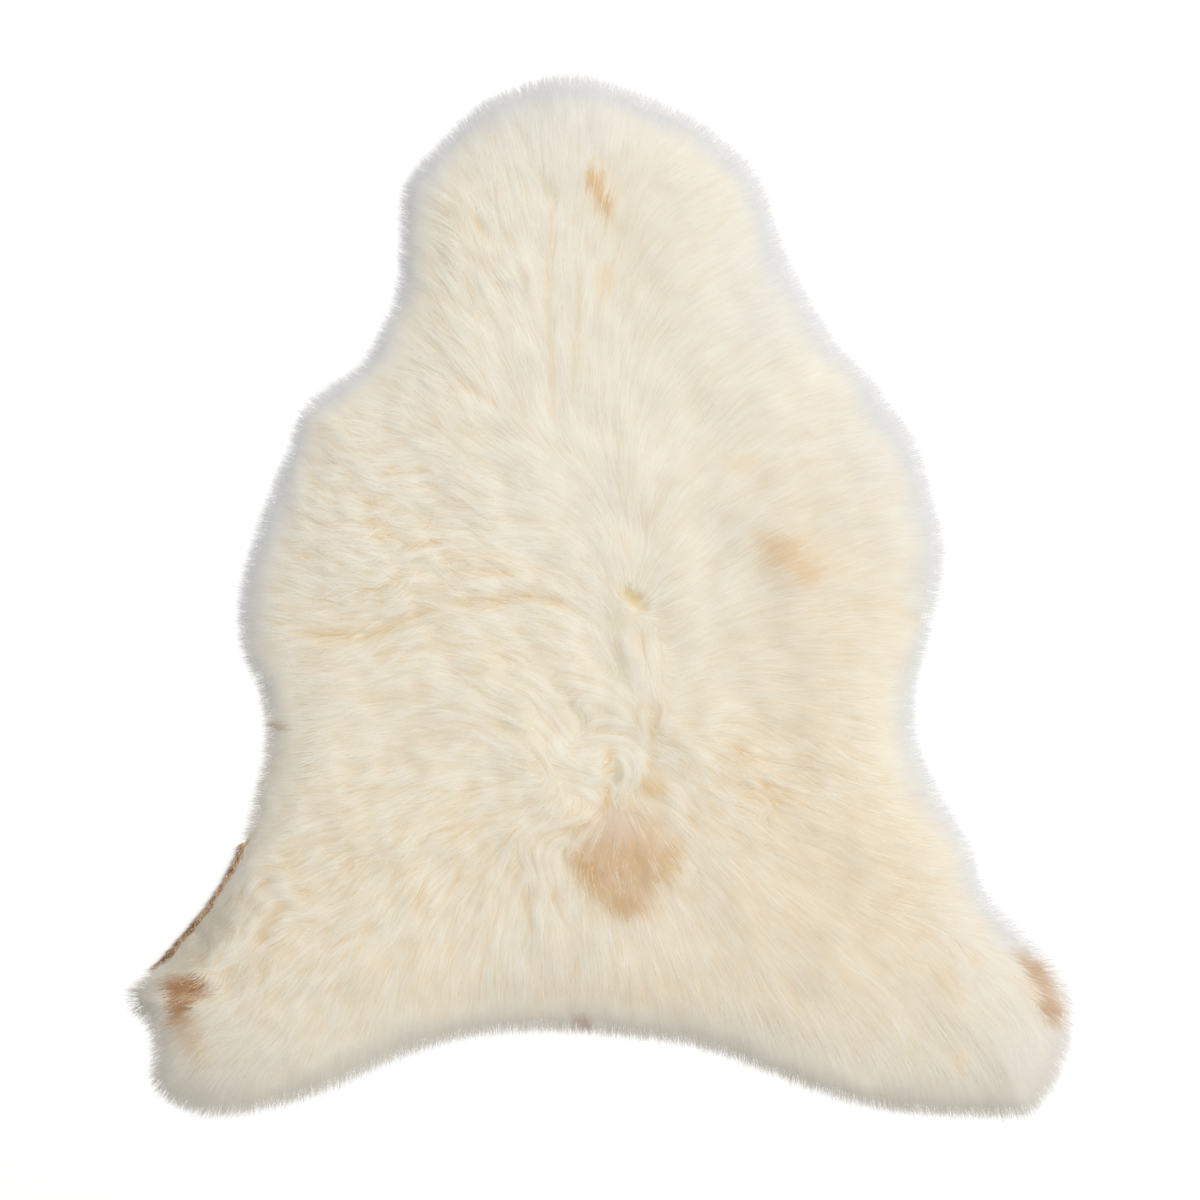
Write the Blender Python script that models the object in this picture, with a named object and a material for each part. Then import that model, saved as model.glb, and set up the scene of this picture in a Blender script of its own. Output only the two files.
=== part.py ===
"""A whole sheepskin rug, lying flat on the floor with its wool up and its neck towards +Y.

The pelt is one piece: a tanned skin and the wool that grows from it. It is modelled as one solid, a lumpy
slab as high as the wool stands, with the locks of its rim lying on the floor all round it. At the left hind
leg the wool stops short, and the thin edge of the skin shows.

Metres, +Z up. The origin is on the floor, under the middle of the rug.
"""

import math
import random
from typing import NamedTuple

import bmesh
import bpy
import numpy as np
from mathutils import Matrix, Vector, noise

MM = 0.001

# Driving dimensions of the wool
PILE_HEIGHT = 38 * MM          # over the middle of the back
RIM_HEIGHT = 12 * MM           # at the slab's edge, where the rim's locks spring
CROWN_WIDTH = 110 * MM         # from the slab's edge in to where the wool stands at full height
CROWN_FULLNESS = 0.8           # under 1, the wool rises sooner from its edge
BIG_LUMP = (95 * MM, 6.0 * MM)     # size and height of the wool's broad lumps
SMALL_LUMP = (38 * MM, 4.5 * MM)   # size and height of its small ones
LUMP_SLICE = 0.37              # which slice of the noise makes the lumps
RIM_LUMPS = 0.35               # how much of the lumps' height is left at the slab's edge

# Driving dimensions of the rim's locks
LOCK_REACH = 24 * MM           # how far they stand out of the slab
LOCK_ROOT = 7 * MM             # how far their roots are sunk into it
LOCK_PITCH = 12.8 * MM
LOCK_WIDTH = 10.2 * MM         # at the root
LOCK_HEIGHT = 10.5 * MM        # at the root
LOCK_TIP = 0.3                 # the tip's width and height, as a share of the root's
LOCK_FULLNESS = 1.4            # over 1, the lock keeps its width for longer before it tapers
LOCK_LEAN = 0.5                # how far it leans from straight out, on the way to the wool's own direction
LOCK_LEAN_MAX = math.radians(26)   # the most that it leans
LOCK_STRAY = math.radians(3)   # how far it strays from its neighbours' direction
LOCK_CURL = 0.09               # how far its tip bends to one side, as a share of its length
LOCK_SIZES = (0.86, 1.05)      # the smallest and the largest lock, against the width and height above
LOCK_SHARES = (0.84, 1.0)      # how much of the way to the wool's outline they go
LOCK_REACH_LIMITS = (13 * MM, 44 * MM)
LOCK_SEED = 7

# Driving dimensions of the skin's bare edge at the left hind leg
SKIN_THICKNESS = 2.5 * MM
SKIN_EDGE_ENDS = (-372 * MM, -256 * MM)   # where it starts and ends, along the rug
SKIN_EDGE_INSET = 3 * MM       # how far it stays inside the wool's outline
SKIN_EDGE_SHOWS = 12 * MM      # from the wool's outline in to where the slab starts
SKIN_EDGE_DEPTH = 36 * MM      # how far it runs in under the wool

# How finely the shape is cut
CURVE_POINTS = 8               # on the outline's curve, from one station to the next
OUTLINE_STEP = 13 * MM
PILE_STEP = 19 * MM
LOCK_BENDS = 1
SLAB_ROUNDING = 8              # how many times the slab's edge is drawn towards a rounder line
HEADING_ROUNDING = 6           # the same for the directions of neighbouring locks

SPINE = Vector((10 * MM, 250 * MM)), Vector((10 * MM, -60 * MM))   # the wool lies away from this line

WOOL_CREAM = (0.84, 0.78, 0.63, 1.0)


class Station(NamedTuple):
    """How far the wool reaches on each side of the middle line at one place along the back, in millimetres."""

    name: str
    along: float
    left: float
    right: float


class EdgePoint(NamedTuple):
    """A place on the outline, in millimetres from the middle of the rug."""

    name: str
    across: float
    along: float


class Parting(NamedTuple):
    """A trough where the wool falls to two sides, from one end to the other, in millimetres."""

    name: str
    start: tuple
    end: tuple
    width: float
    depth: float


NECK_TIP = EdgePoint("neck_tip", -30, 519)

STATIONS = (
    Station("neck_front", 500, 100, 40),
    Station("neck_corner", 475, 137, 95),
    Station("neck_side", 450, 161, 127),
    Station("neck_widest", 400, 196, 162),
    Station("neck_middle", 350, 199, 181),
    Station("neck_base", 300, 203, 206),
    Station("shoulder_start", 250, 226, 235),
    Station("shoulder", 200, 276, 279),
    Station("foreleg", 150, 309, 314),
    Station("chest", 100, 330, 330),
    Station("ribs", 50, 347, 342),
    Station("flank_widest", 0, 359, 337),
    Station("flank", -50, 357, 325),
    Station("waist_start", -100, 338, 314),
    Station("waist", -150, 333, 317),
    Station("waist_end", -200, 344, 340),
    Station("thigh", -250, 363, 368),
    Station("haunch", -300, 390, 388),
    Station("hock", -350, 431, 436),
    Station("leg_widest", -400, 472, 468),
    Station("shank", -450, 448, 468),
    Station("leg_end", -500, 433, 441),
)

HIND_EDGE = (
    EdgePoint("left_leg_tip", -390, -519),
    EdgePoint("left_leg_inside", -330, -511),
    EdgePoint("left_leg_root", -270, -493),
    EdgePoint("left_rump", -200, -461),
    EdgePoint("left_of_tail", -130, -440),
    EdgePoint("tail", -60, -434),
    EdgePoint("right_of_tail", 20, -439),
    EdgePoint("right_rump", 100, -451),
    EdgePoint("right_rump_end", 170, -476),
    EdgePoint("right_leg_root", 230, -499),
    EdgePoint("right_leg_inside", 300, -515),
    EdgePoint("right_leg_tip", 390, -520),
)

PARTINGS = (
    Parting("neck", (-64, 474), (-42, 402), 17, 9),
    Parting("neck_to_shoulder", (-54, 398), (-47, 318), 18, 7),
    Parting("left_flank_outer", (-300, -36), (-216, -35), 18, 8),
    Parting("left_flank_inner", (-214, -34), (-84, 0), 18, 7),
    Parting("right_flank", (286, -8), (326, -26), 18, 6),
    Parting("middle_of_back", (22, 8), (44, -8), 18, 8),
    Parting("rump", (12, -150), (8, -208), 16, 10),
)


def new_collection(name):
    """Adds an empty collection to the scene."""
    collection = bpy.data.collections.new(name)
    bpy.context.scene.collection.children.link(collection)
    return collection


def object_from_bmesh(bm, name, collection):
    """Makes an object from a bmesh, and frees the bmesh."""
    mesh = bpy.data.meshes.new(name)
    bm.to_mesh(mesh)
    bm.free()
    made = bpy.data.objects.new(name, mesh)
    collection.objects.link(made)
    return made


def hide_tool(tool):
    """Marks an object as one that only shapes another."""
    tool.hide_render = True
    tool.display_type = "WIRE"


# The outline


def outline_stations():
    """The wool's outline through its stations, in metres, clockwise from the neck's tip."""
    points = [(NECK_TIP.across, NECK_TIP.along)]
    points += [(s.right, s.along) for s in STATIONS]
    points += [(p.across, p.along) for p in reversed(HIND_EDGE)]
    points += [(-s.left, s.along) for s in reversed(STATIONS)]
    return np.array(points) * MM


def smooth_loop(points):
    """A closed Catmull-Rom curve through the points."""
    before = np.roll(points, 1, axis=0)
    after = np.roll(points, -1, axis=0)
    beyond = np.roll(points, -2, axis=0)
    rows = []
    for t in np.arange(CURVE_POINTS) / CURVE_POINTS:
        rows.append(
            0.5
            * (
                2 * points
                + (after - before) * t
                + (2 * before - 5 * points + 4 * after - beyond) * t**2
                + (3 * points - before - 3 * after + beyond) * t**3
            )
        )
    return np.stack(rows, axis=1).reshape(-1, 2)


def even_loop(points, step):
    """The same closed line, with its points a step apart."""
    closed = np.vstack([points, points[:1]])
    gone = np.concatenate([[0.0], np.cumsum(np.hypot(*np.diff(closed, axis=0).T))])
    count = round(gone[-1] / step)
    at = np.arange(count) * gone[-1] / count
    return np.column_stack([np.interp(at, gone, closed[:, 0]), np.interp(at, gone, closed[:, 1])])


def outward(loop):
    """The direction straight out of a clockwise loop at each of its points."""
    ahead = np.roll(loop, -1, axis=0) - np.roll(loop, 1, axis=0)
    ahead /= np.hypot(*ahead.T)[:, None]
    return np.column_stack([-ahead[:, 1], ahead[:, 0]])


def blended(rows, passes):
    """Rows round a closed loop, each drawn towards its neighbours a number of times."""
    for _ in range(passes):
        rows = (rows * 2 + np.roll(rows, 1, axis=0) + np.roll(rows, -1, axis=0)) / 4
    return rows


def beside_skin_edge(x, y):
    """Whether a place on the rim is beside the skin's bare edge."""
    low, high = SKIN_EDGE_ENDS
    return x < 0 and low < y < high


def slab_loop(wool_loop):
    """The slab's own edge, a lock's reach inside the wool's outline and rounder than it."""
    inset = np.array([[SKIN_EDGE_SHOWS if beside_skin_edge(*point) else LOCK_REACH] for point in wool_loop])
    loop = wool_loop - outward(wool_loop) * inset
    return even_loop(blended(loop, SLAB_ROUNDING), OUTLINE_STEP)


def distance_to_loop(x, y, loop):
    """How far a point is from the nearest side of a closed loop."""
    side = np.roll(loop, -1, axis=0) - loop
    offset = np.array([x, y]) - loop
    share = np.clip((offset * side).sum(axis=1) / (side**2).sum(axis=1), 0, 1)
    return float(np.min(np.hypot(*(offset - share[:, None] * side).T)))


def reach_to_loop(root, heading, loop):
    """How far a line from a root point runs before it meets a closed loop."""
    side = np.roll(loop, -1, axis=0) - loop
    offset = loop - root
    turn = heading[0] * side[:, 1] - heading[1] * side[:, 0]
    turn[np.abs(turn) < 1e-12] = 1e-12
    run = (offset[:, 0] * side[:, 1] - offset[:, 1] * side[:, 0]) / turn
    share = (offset[:, 0] * heading[1] - offset[:, 1] * heading[0]) / turn
    met = run[(run > 0) & (share >= 0) & (share <= 1)]
    return float(met.min()) if len(met) else LOCK_REACH


# The slab of wool


def lump(x, y, size, height):
    """Soft lumps of one size and height in the wool."""
    return height * noise.noise(Vector((x / size, y / size, LUMP_SLICE)))


def trough(x, y, parting):
    """How deep one parting is at a point."""
    start = Vector(parting.start) * MM
    end = Vector(parting.end) * MM
    run = end - start
    share = min(1.0, max(0.0, (Vector((x, y)) - start).dot(run) / run.length_squared))
    away = (Vector((x, y)) - start - run * share).length
    return parting.depth * MM * math.exp(-((away / (parting.width * MM)) ** 2))


def pile_height(x, y, edge):
    """The height of the wool's top at a point."""
    rise = min(1.0, distance_to_loop(x, y, edge) / CROWN_WIDTH)
    crown = math.sin(rise * math.pi / 2) ** CROWN_FULLNESS
    height = RIM_HEIGHT + (PILE_HEIGHT - RIM_HEIGHT) * crown
    height += (lump(x, y, *BIG_LUMP) + lump(x, y, *SMALL_LUMP)) * (RIM_LUMPS + (1 - RIM_LUMPS) * rise)
    return height - sum(trough(x, y, parting) for parting in PARTINGS)


def make_pile(edge, collection):
    """A block with the wool's lumpy top, wider and deeper than the slab that is cut from it."""
    low = edge.min(axis=0) - PILE_STEP
    high = edge.max(axis=0) + PILE_STEP
    columns, rows = (math.ceil(span / PILE_STEP) for span in high - low)
    middle = (low + high) / 2
    bm = bmesh.new()
    bmesh.ops.create_grid(
        bm,
        x_segments=columns,
        y_segments=rows,
        size=0.5,
        matrix=Matrix.Translation((*middle, 0)) @ Matrix.Diagonal((*(high - low), 1, 1)),
    )
    bottom = bmesh.ops.extrude_face_region(bm, geom=bm.faces[:])["geom"]
    lowered = {item for item in bottom if isinstance(item, bmesh.types.BMVert)}
    for vert in bm.verts:
        vert.co.z = -RIM_HEIGHT if vert in lowered else pile_height(vert.co.x, vert.co.y, edge)
    bmesh.ops.recalc_face_normals(bm, faces=bm.faces[:])
    bmesh.ops.triangulate(bm, faces=bm.faces[:])
    return object_from_bmesh(bm, "sheepskin", collection)


def flat_plate(name, loop, thickness, collection):
    """A plate on the floor with the outline of a loop, as a closed mesh."""
    curve = bpy.data.curves.new(name, "CURVE")
    curve.dimensions = "2D"
    curve.fill_mode = "BOTH"
    curve.extrude = thickness / 2
    spline = curve.splines.new("POLY")
    spline.points.add(len(loop) - 1)
    for point, (x, y) in zip(spline.points, loop):
        point.co = (x, y, 0, 1)
    spline.use_cyclic_u = True
    drawn = bpy.data.objects.new(name + "_line", curve)
    drawn.location.z = thickness / 2
    collection.objects.link(drawn)
    bpy.context.view_layer.update()
    mesh = bpy.data.meshes.new_from_object(drawn.evaluated_get(bpy.context.evaluated_depsgraph_get()))
    bm = bmesh.new()
    bm.from_mesh(mesh)
    bmesh.ops.remove_doubles(bm, verts=bm.verts[:], dist=0.01 * MM)
    bmesh.ops.translate(bm, verts=bm.verts[:], vec=drawn.location)
    bmesh.ops.recalc_face_normals(bm, faces=bm.faces[:])
    plate = object_from_bmesh(bm, name, collection)
    bpy.data.objects.remove(drawn)
    bpy.data.meshes.remove(mesh)
    return plate


# The locks of the rim


def wool_lie(point):
    """The direction in which the wool lies at a point, away from the spine."""
    start, end = SPINE
    run = end - start
    share = min(1.0, max(0.0, (point - start).dot(run) / run.length_squared))
    return (point - start - run * share).normalized()


def lock_heading(point, straight_out):
    """A lock's direction, between straight out and the way the wool lies."""
    lie = wool_lie(point)
    lean = math.atan2(straight_out.cross(lie), straight_out.dot(lie)) * LOCK_LEAN
    lean = min(LOCK_LEAN_MAX, max(-LOCK_LEAN_MAX, lean))
    return Matrix.Rotation(lean, 2) @ straight_out


def lock_headings(roots):
    """Each lock's direction round the rim, changing evenly from one to the next."""
    headings = [lock_heading(Vector(root), Vector(out)) for root, out in zip(roots, outward(roots))]
    return blended(np.array(headings), HEADING_ROUNDING)


def unit_lock():
    """A straight three-sided lock, one unit long and wide, with its ridge at +Y and its root at the origin."""
    bm = bmesh.new()
    bmesh.ops.create_cone(bm, cap_ends=True, segments=3, radius1=0.5, radius2=0.5, depth=1)
    bmesh.ops.translate(bm, verts=bm.verts[:], vec=(0, 0, 0.5))
    along = [line for line in bm.edges if abs(line.verts[0].co.z - line.verts[1].co.z) > 0.5]
    bmesh.ops.subdivide_edges(bm, edges=along, cuts=LOCK_BENDS)
    mesh = bpy.data.meshes.new("unit_lock")
    bm.to_mesh(mesh)
    bm.free()
    return mesh


def add_lock(bm, unit, root, heading, length, width, height, curl):
    """Adds one lock that lies on the floor: flat below, ridged above, and narrower towards its tip."""
    before = len(bm.verts)
    bm.from_mesh(unit)
    bm.verts.ensure_lookup_table()
    beside = Vector((-heading.y, heading.x))
    for vert in bm.verts[before:]:
        out = vert.co.z
        taper = 1 - (1 - LOCK_TIP) * out**LOCK_FULLNESS
        on_ridge = vert.co.y > 0.1
        side = 0 if on_ridge else math.copysign(0.5, vert.co.x)
        place = root + heading * (length * out) + beside * (width * taper * side + curl * length * out**2)
        vert.co = (*place, height * taper if on_ridge else 0)


def make_locks(wool_loop, edge, collection):
    """All the locks of the rim, each long enough to reach the wool's outline."""
    chance = random.Random(LOCK_SEED)
    bm = bmesh.new()
    unit = unit_lock()
    roots = even_loop(edge, LOCK_PITCH)
    for root, heading in zip(roots, lock_headings(roots)):
        heading = Matrix.Rotation(chance.uniform(-LOCK_STRAY, LOCK_STRAY), 2) @ Vector(heading).normalized()
        size = chance.uniform(*LOCK_SIZES)
        curl = chance.uniform(-LOCK_CURL, LOCK_CURL)
        share = chance.uniform(*LOCK_SHARES)
        if beside_skin_edge(*root):
            continue
        reach = reach_to_loop(root, heading, wool_loop) * share
        reach = min(LOCK_REACH_LIMITS[1], max(LOCK_REACH_LIMITS[0], reach))
        start = Vector(root) - heading * LOCK_ROOT
        add_lock(bm, unit, start, heading, reach + LOCK_ROOT, LOCK_WIDTH * size, LOCK_HEIGHT * size, curl)
    return object_from_bmesh(bm, "locks", collection)


def skin_edge_loop(wool_loop):
    """The outline of the skin's bare edge at the left hind leg, with the part of it under the wool."""
    bare = [(x, y) for x, y in wool_loop if beside_skin_edge(x, y)]
    outer = [(x + SKIN_EDGE_INSET, y) for x, y in bare]
    inner = [(x + SKIN_EDGE_DEPTH, y) for x, y in reversed(bare)]
    return outer + inner


# The whole rug


def join_or_cut(body, tool, operation, solver="EXACT"):
    """Shapes the body with a tool."""
    modifier = body.modifiers.new(tool.name, "BOOLEAN")
    modifier.operation = operation
    modifier.solver = solver
    modifier.object = tool
    hide_tool(tool)


def wool_material():
    """Cream wool, dull all over."""
    material = bpy.data.materials.new("cream_wool")
    material.use_nodes = True
    shader = material.node_tree.nodes["Principled BSDF"]
    shader.inputs["Base Color"].default_value = WOOL_CREAM
    shader.inputs["Roughness"].default_value = 0.9
    shader.inputs["Metallic"].default_value = 0.0
    return material


def centre_over_origin(outer, others):
    """Moves all the pieces together, so that the middle of the outer ones' joint box is over the origin."""
    corners = np.array([vert.co[:2] for piece in outer for vert in piece.data.vertices])
    middle = (corners.min(axis=0) + corners.max(axis=0)) / 2
    for piece in outer + others:
        piece.data.transform(Matrix.Translation((-middle[0], -middle[1], 0)))


def main():
    """Builds the rug."""
    for old in list(bpy.data.objects):
        bpy.data.objects.remove(old)
    rug = new_collection("sheepskin_rug")
    tools = new_collection("shaping_tools")

    wool_loop = even_loop(smooth_loop(outline_stations()), OUTLINE_STEP)
    edge = slab_loop(wool_loop)

    sheepskin = make_pile(edge, rug)
    slab = flat_plate("slab_outline", edge, 2 * PILE_HEIGHT, tools)
    locks = make_locks(wool_loop, edge, tools)
    skin_edge = flat_plate("skin_edge", skin_edge_loop(wool_loop), SKIN_THICKNESS, tools)
    centre_over_origin([slab, locks, skin_edge], [sheepskin])

    join_or_cut(sheepskin, slab, "INTERSECT")
    # The skin's edge and the locks lie level on the floor with the slab, which the exact solver can't join.
    join_or_cut(sheepskin, skin_edge, "UNION", "MANIFOLD")
    join_or_cut(sheepskin, locks, "UNION", "MANIFOLD")
    sheepskin.data.materials.append(wool_material())


main()
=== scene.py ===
"""The looks of a whole sheepskin rug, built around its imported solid.

The rug is one pelt, lying flat with its wool up. On the floor is the tanned skin. A dense underwool grows
from it, and over that lie the coats of long strands, drawn together into tufts and locks. At the left hind
leg the wool stops short and shows the skin's edge with its short brown hair.

Metres, +Z up, with the neck towards +Y. The tables' sizes are millimetres from the middle of the rug.
"""

import logging
import math
from dataclasses import dataclass, field
from enum import Enum, IntEnum
from typing import NamedTuple

import bmesh
import bpy
import numpy as np
from bpy.types import Material, Mesh, Node, NodeSocket, NodeTree, Object
from mathutils import Matrix, Vector, noise

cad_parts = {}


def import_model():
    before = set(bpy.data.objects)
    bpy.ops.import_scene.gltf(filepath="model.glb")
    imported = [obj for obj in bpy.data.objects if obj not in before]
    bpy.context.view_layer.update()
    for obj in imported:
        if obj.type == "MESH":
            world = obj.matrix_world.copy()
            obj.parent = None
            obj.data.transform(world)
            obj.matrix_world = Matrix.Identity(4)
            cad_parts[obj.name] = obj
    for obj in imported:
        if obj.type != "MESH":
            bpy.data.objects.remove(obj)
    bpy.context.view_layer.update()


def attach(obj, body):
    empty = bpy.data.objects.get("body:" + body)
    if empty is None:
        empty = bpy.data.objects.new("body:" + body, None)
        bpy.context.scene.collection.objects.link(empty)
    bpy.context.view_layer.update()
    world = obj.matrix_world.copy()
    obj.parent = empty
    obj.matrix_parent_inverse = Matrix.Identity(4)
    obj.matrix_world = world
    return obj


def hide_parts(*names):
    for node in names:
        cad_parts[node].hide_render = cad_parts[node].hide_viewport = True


MM = 0.001
NODE = "sheepskin"
BODY = "root"
BAKE_MAP = "OFBake"
PATH_PLACES = 40               # how many places a lock's line is known at
CURVE_STEPS = 8                # points on a curve for each of those that it is drawn through
TINY = 1e-9                    # keeps lengths and slopes off zero

# Slices through the noise, one for each pattern, so that none repeats another
HAIR_SLICE = 0.7
RAGGED_SLICE = 2.2
UNDERWOOL_SLICE = 3.3
SWAY_SLICE = 4.1
RIM_SLICE = 5.5
CREASE_SLICE = 7.3
HUMP_SLICE = 9.1

log = logging.getLogger("sheepskin_rug")

Pair = tuple[float, float]
Triple = tuple[float, float, float]
Four = tuple[float, float, float, float]
Array = np.ndarray


class Station(NamedTuple):
    """How far the wool reaches on each side of the middle line at one place along the back."""

    name: str
    along: float
    left: float
    right: float


class EdgePoint(NamedTuple):
    """A place on the outline."""

    name: str
    across: float
    along: float


class Parting(NamedTuple):
    """A trough where the wool falls to two sides, from one end to the other."""

    name: str
    start: Pair
    end: Pair
    width: float
    depth: float


class LieRow(NamedTuple):
    """Which way the wool lies across the rug at one place along the back, in degrees from +X towards +Y.

    The outer two directions stand at the rims, the middle four at the spine's columns, and the others midway.
    """

    along: float
    left_rim: float
    left: float
    near_left: float
    spine_left: float
    spine_right: float
    near_right: float
    right: float
    right_rim: float


class Region(NamedTuple):
    """A part of the rug: its middle, its half sizes, and how much of something it has."""

    name: str
    across: float
    along: float
    half_width: float
    half_length: float
    strength: float

    def at(self, places: Array) -> Array:
        """Gives what it has at places, most in its middle."""
        offset = places - np.array([self.across, self.along]) * MM
        offset = offset / (np.array([self.half_width, self.half_length]) * MM)
        return self.strength * np.exp(-(offset**2).sum(axis=-1))


class LockPath(NamedTuple):
    """A lock that stands out from the coat: its width, and where it runs, from root to tip."""

    width: float
    points: tuple[Pair, ...]


class BareEdge(NamedTuple):
    """A stretch of the left rim where the wool stops short of the skin's edge, and by how much."""

    name: str
    low: float
    high: float
    inset: float


class Whorl(NamedTuple):
    """A place that the wool turns round: straight out of it with no turn, and round it with 90 degrees."""

    name: str
    across: float
    along: float
    radius: float
    turn: float
    strength: float


class Stain(NamedTuple):
    """A patch of colour on the wool, most of them stains and a few painted shade: its middle, half sizes,
    slant in degrees, colour and strength.
    """

    name: str
    across: float
    along: float
    half_length: float
    half_width: float
    slant: float
    colour: str
    strength: float


NECK_TIP = EdgePoint("neck_tip", -30, 519)

STATIONS = tuple(Station(*row) for row in (
    ("neck_front", 500, 100, 40),
    ("neck_corner", 475, 137, 95),
    ("neck_side", 450, 161, 128),
    ("neck_bulge", 425, 185, 153),
    ("neck_widest", 400, 197, 165),
    ("neck_middle", 350, 199, 181),
    ("neck_base", 300, 203, 206),
    ("shoulder_start", 250, 226, 237),
    ("shoulder_step", 227, 242, 260),
    ("shoulder", 205, 274, 279),
    ("shoulder_corner", 185, 297, 292),
    ("foreleg", 150, 309, 316),
    ("chest", 100, 330, 330),
    ("ribs", 50, 347, 342),
    ("flank_widest", 0, 359, 337),
    ("flank", -50, 357, 325),
    ("waist_start", -100, 338, 314),
    ("waist", -150, 333, 317),
    ("waist_end", -200, 344, 340),
    ("thigh", -250, 358, 368),
    ("haunch", -300, 385, 387),
    ("hock", -350, 426, 436),
    ("above_the_tuft", -384, 458, 464),
    ("leg_widest", -404, 474, 470),
    ("below_the_tuft", -431, 451, 471),
    ("shank", -455, 446, 467),
    ("leg_corner", -485, 447, 455),
    ("leg_end", -505, 430, 442),
))

HIND_EDGE = tuple(EdgePoint(*row) for row in (
    ("left_leg_tip", -390, -519),
    ("left_leg_inside", -330, -511),
    ("left_leg_root", -270, -493),
    ("left_rump", -200, -461),
    ("left_of_tail", -130, -440),
    ("tail", -60, -434),
    ("right_of_tail", 20, -439),
    ("right_rump", 100, -451),
    ("right_rump_end", 170, -476),
    ("right_leg_root", 230, -499),
    ("right_leg_inside", 300, -515),
    ("right_leg_tip", 385, -520),
    ("right_leg_corner", 424, -519),
))

PARTINGS = tuple(Parting(*row) for row in (
    ("neck", (-84, 469), (-45, 392), 14, 3.0),
    ("neck_to_shoulder", (-45, 392), (-50, 305), 14, 3.5),
    ("spine_left", (-50, 305), (-44, 180), 14, 3),
    ("spine_right", (-19, 318), (-24, 190), 12, 2.5),
    ("left_flank_rim", (-294, -36), (-232, -39), 14, 6),
    ("left_flank", (-232, -39), (-146, -6), 14, 5),
    ("left_of_the_spine", (-146, -6), (-76, 0), 14, 5),
    ("beside_the_cowlick", (-76, 0), (-36, -6), 12, 6),
    ("right_flank", (286, -8), (326, -26), 14, 3),
    ("middle_of_back", (22, 8), (44, -8), 12, 6),
    ("spine_at_the_loins", (56, -112), (52, -168), 14, 5),
    ("rump", (12, -150), (8, -208), 14, 6),
))

# Short folds in the wool that don't part it
FOLDS = tuple(Parting(*row) for row in (
    ("left_ribs", (-191, 47), (-164, 54), 12, 6),
    ("left_ribs_below", (-116, 26), (-86, 22), 10, 6),
    ("left_ribs_above", (-228, 78), (-200, 62), 12, 4),
    ("left_shoulder", (-136, 212), (-104, 192), 11, 4),
    ("left_shoulder_below", (-141, 168), (-110, 150), 11, 4),
    ("left_foreleg", (-290, 142), (-268, 128), 14, 4),
    ("left_waist", (-258, -166), (-234, -172), 10, 5),
    ("left_loin", (-212, -149), (-190, -156), 10, 4),
    ("left_loin_inner", (-98, -128), (-76, -140), 10, 4),
    ("left_haunch", (-158, -231), (-128, -226), 11, 5),
    ("left_thigh", (-232, -262), (-196, -276), 12, 4),
    ("left_leg", (-322, -322), (-344, -352), 16, 5),
    ("neck_left", (-118, 330), (-98, 304), 12, 4),
    ("neck_left_above", (-128, 382), (-104, 352), 12, 4),
    ("right_loin", (158, -176), (176, -206), 10, 5),
    ("right_loin_above", (128, -146), (150, -158), 10, 3),
    ("loin_crease_1", (-30, -105), (-15, -125), 8, 4),
    ("loin_crease_2", (-15, -125), (-17, -142), 7, 4),
    ("loin_crease_3", (-10, -133), (34, -137), 7, 4),
    ("loin_crease_4", (18, -162), (17, -186), 7, 4),
    ("loin_crease_5", (37, -118), (34, -140), 8, 4),
    ("rump_crease_1", (-60, -236), (-30, -230), 7, 4),
    ("rump_crease_2", (-76, -262), (-86, -288), 8, 4),
    ("rump_crease_3", (-75, -288), (-65, -334), 8, 4),
    ("rump_crease_4", (-48, -288), (-28, -330), 7, 3),
    ("leg_crease_1", (-330, -268), (-300, -276), 8, 4),
    ("leg_crease_2", (-334, -314), (-308, -306), 8, 4),
    ("leg_crease_3", (-270, -348), (-220, -328), 8, 4),
    ("leg_crease_4", (-274, -395), (-254, -384), 7, 4),
    ("leg_crease_5", (-287, -286), (-263, -282), 7, 3),
))

# Where LieRow's four middle directions stand, what share of the half width its outer two stand at, and how
# far those are at least from the middle ones
SPINE_COLUMNS = (-70, -20, 25, 70)
RIM_SHARE = 0.95
LEAST_RIM_GAP = 25

LIE_ROWS = tuple(LieRow(*row) for row in (
    (-510, 235, 255, 268, 270, 272, 280, 290, 292),
    (-450, 225, 248, 268, 270, 272, 282, 304, 294),
    (-400, 190, 246, 269, 272, 275, 284, 315, 302),
    (-350, 236, 231, 268, 275, 280, 290, 321, 315),
    (-300, 225, 217, 260, 275, 284, 298, 328, 348),
    (-250, 186, 213, 250, 278, 290, 312, 333, 350),
    (-210, 186, 202, 205, 225, 290, 325, 332, 352),
    (-150, 190, 194, 152, 133, 98, -28, -24, -4),
    (-100, 186, 183, 158, 142, 114, 35, -14, 2),
    (-40, 178, 181, 172, 150, 102, 30, 4, 0),
    (10, 178, 181, 170, 145, 95, 26, 18, 4),
    (60, 165, 178, 172, 150, 96, 58, 22, 8),
    (120, 160, 166, 158, 135, 94, 52, 25, 6),
    (190, 158, 148, 110, 94, 87, 55, 27, 15),
    (260, 155, 135, 103, 90, 80, 50, 28, 14),
    (340, 135, 130, 112, 89, 64, 38, 30, 30),
    (420, 145, 120, 110, 90, 75, 32, 26, 24),
    (480, 125, 115, 108, 92, 86, 60, 50, 40),
))

WHORLS = tuple(Whorl(*row) for row in (
    ("cowlick", 37, -3, 14, 0, 0.6),
    ("spiral", 19, -177, 18, 70, 0.9),
    ("crown_of_the_tan_patch", 14, -212, 24, 0, 0.85),
))

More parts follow.
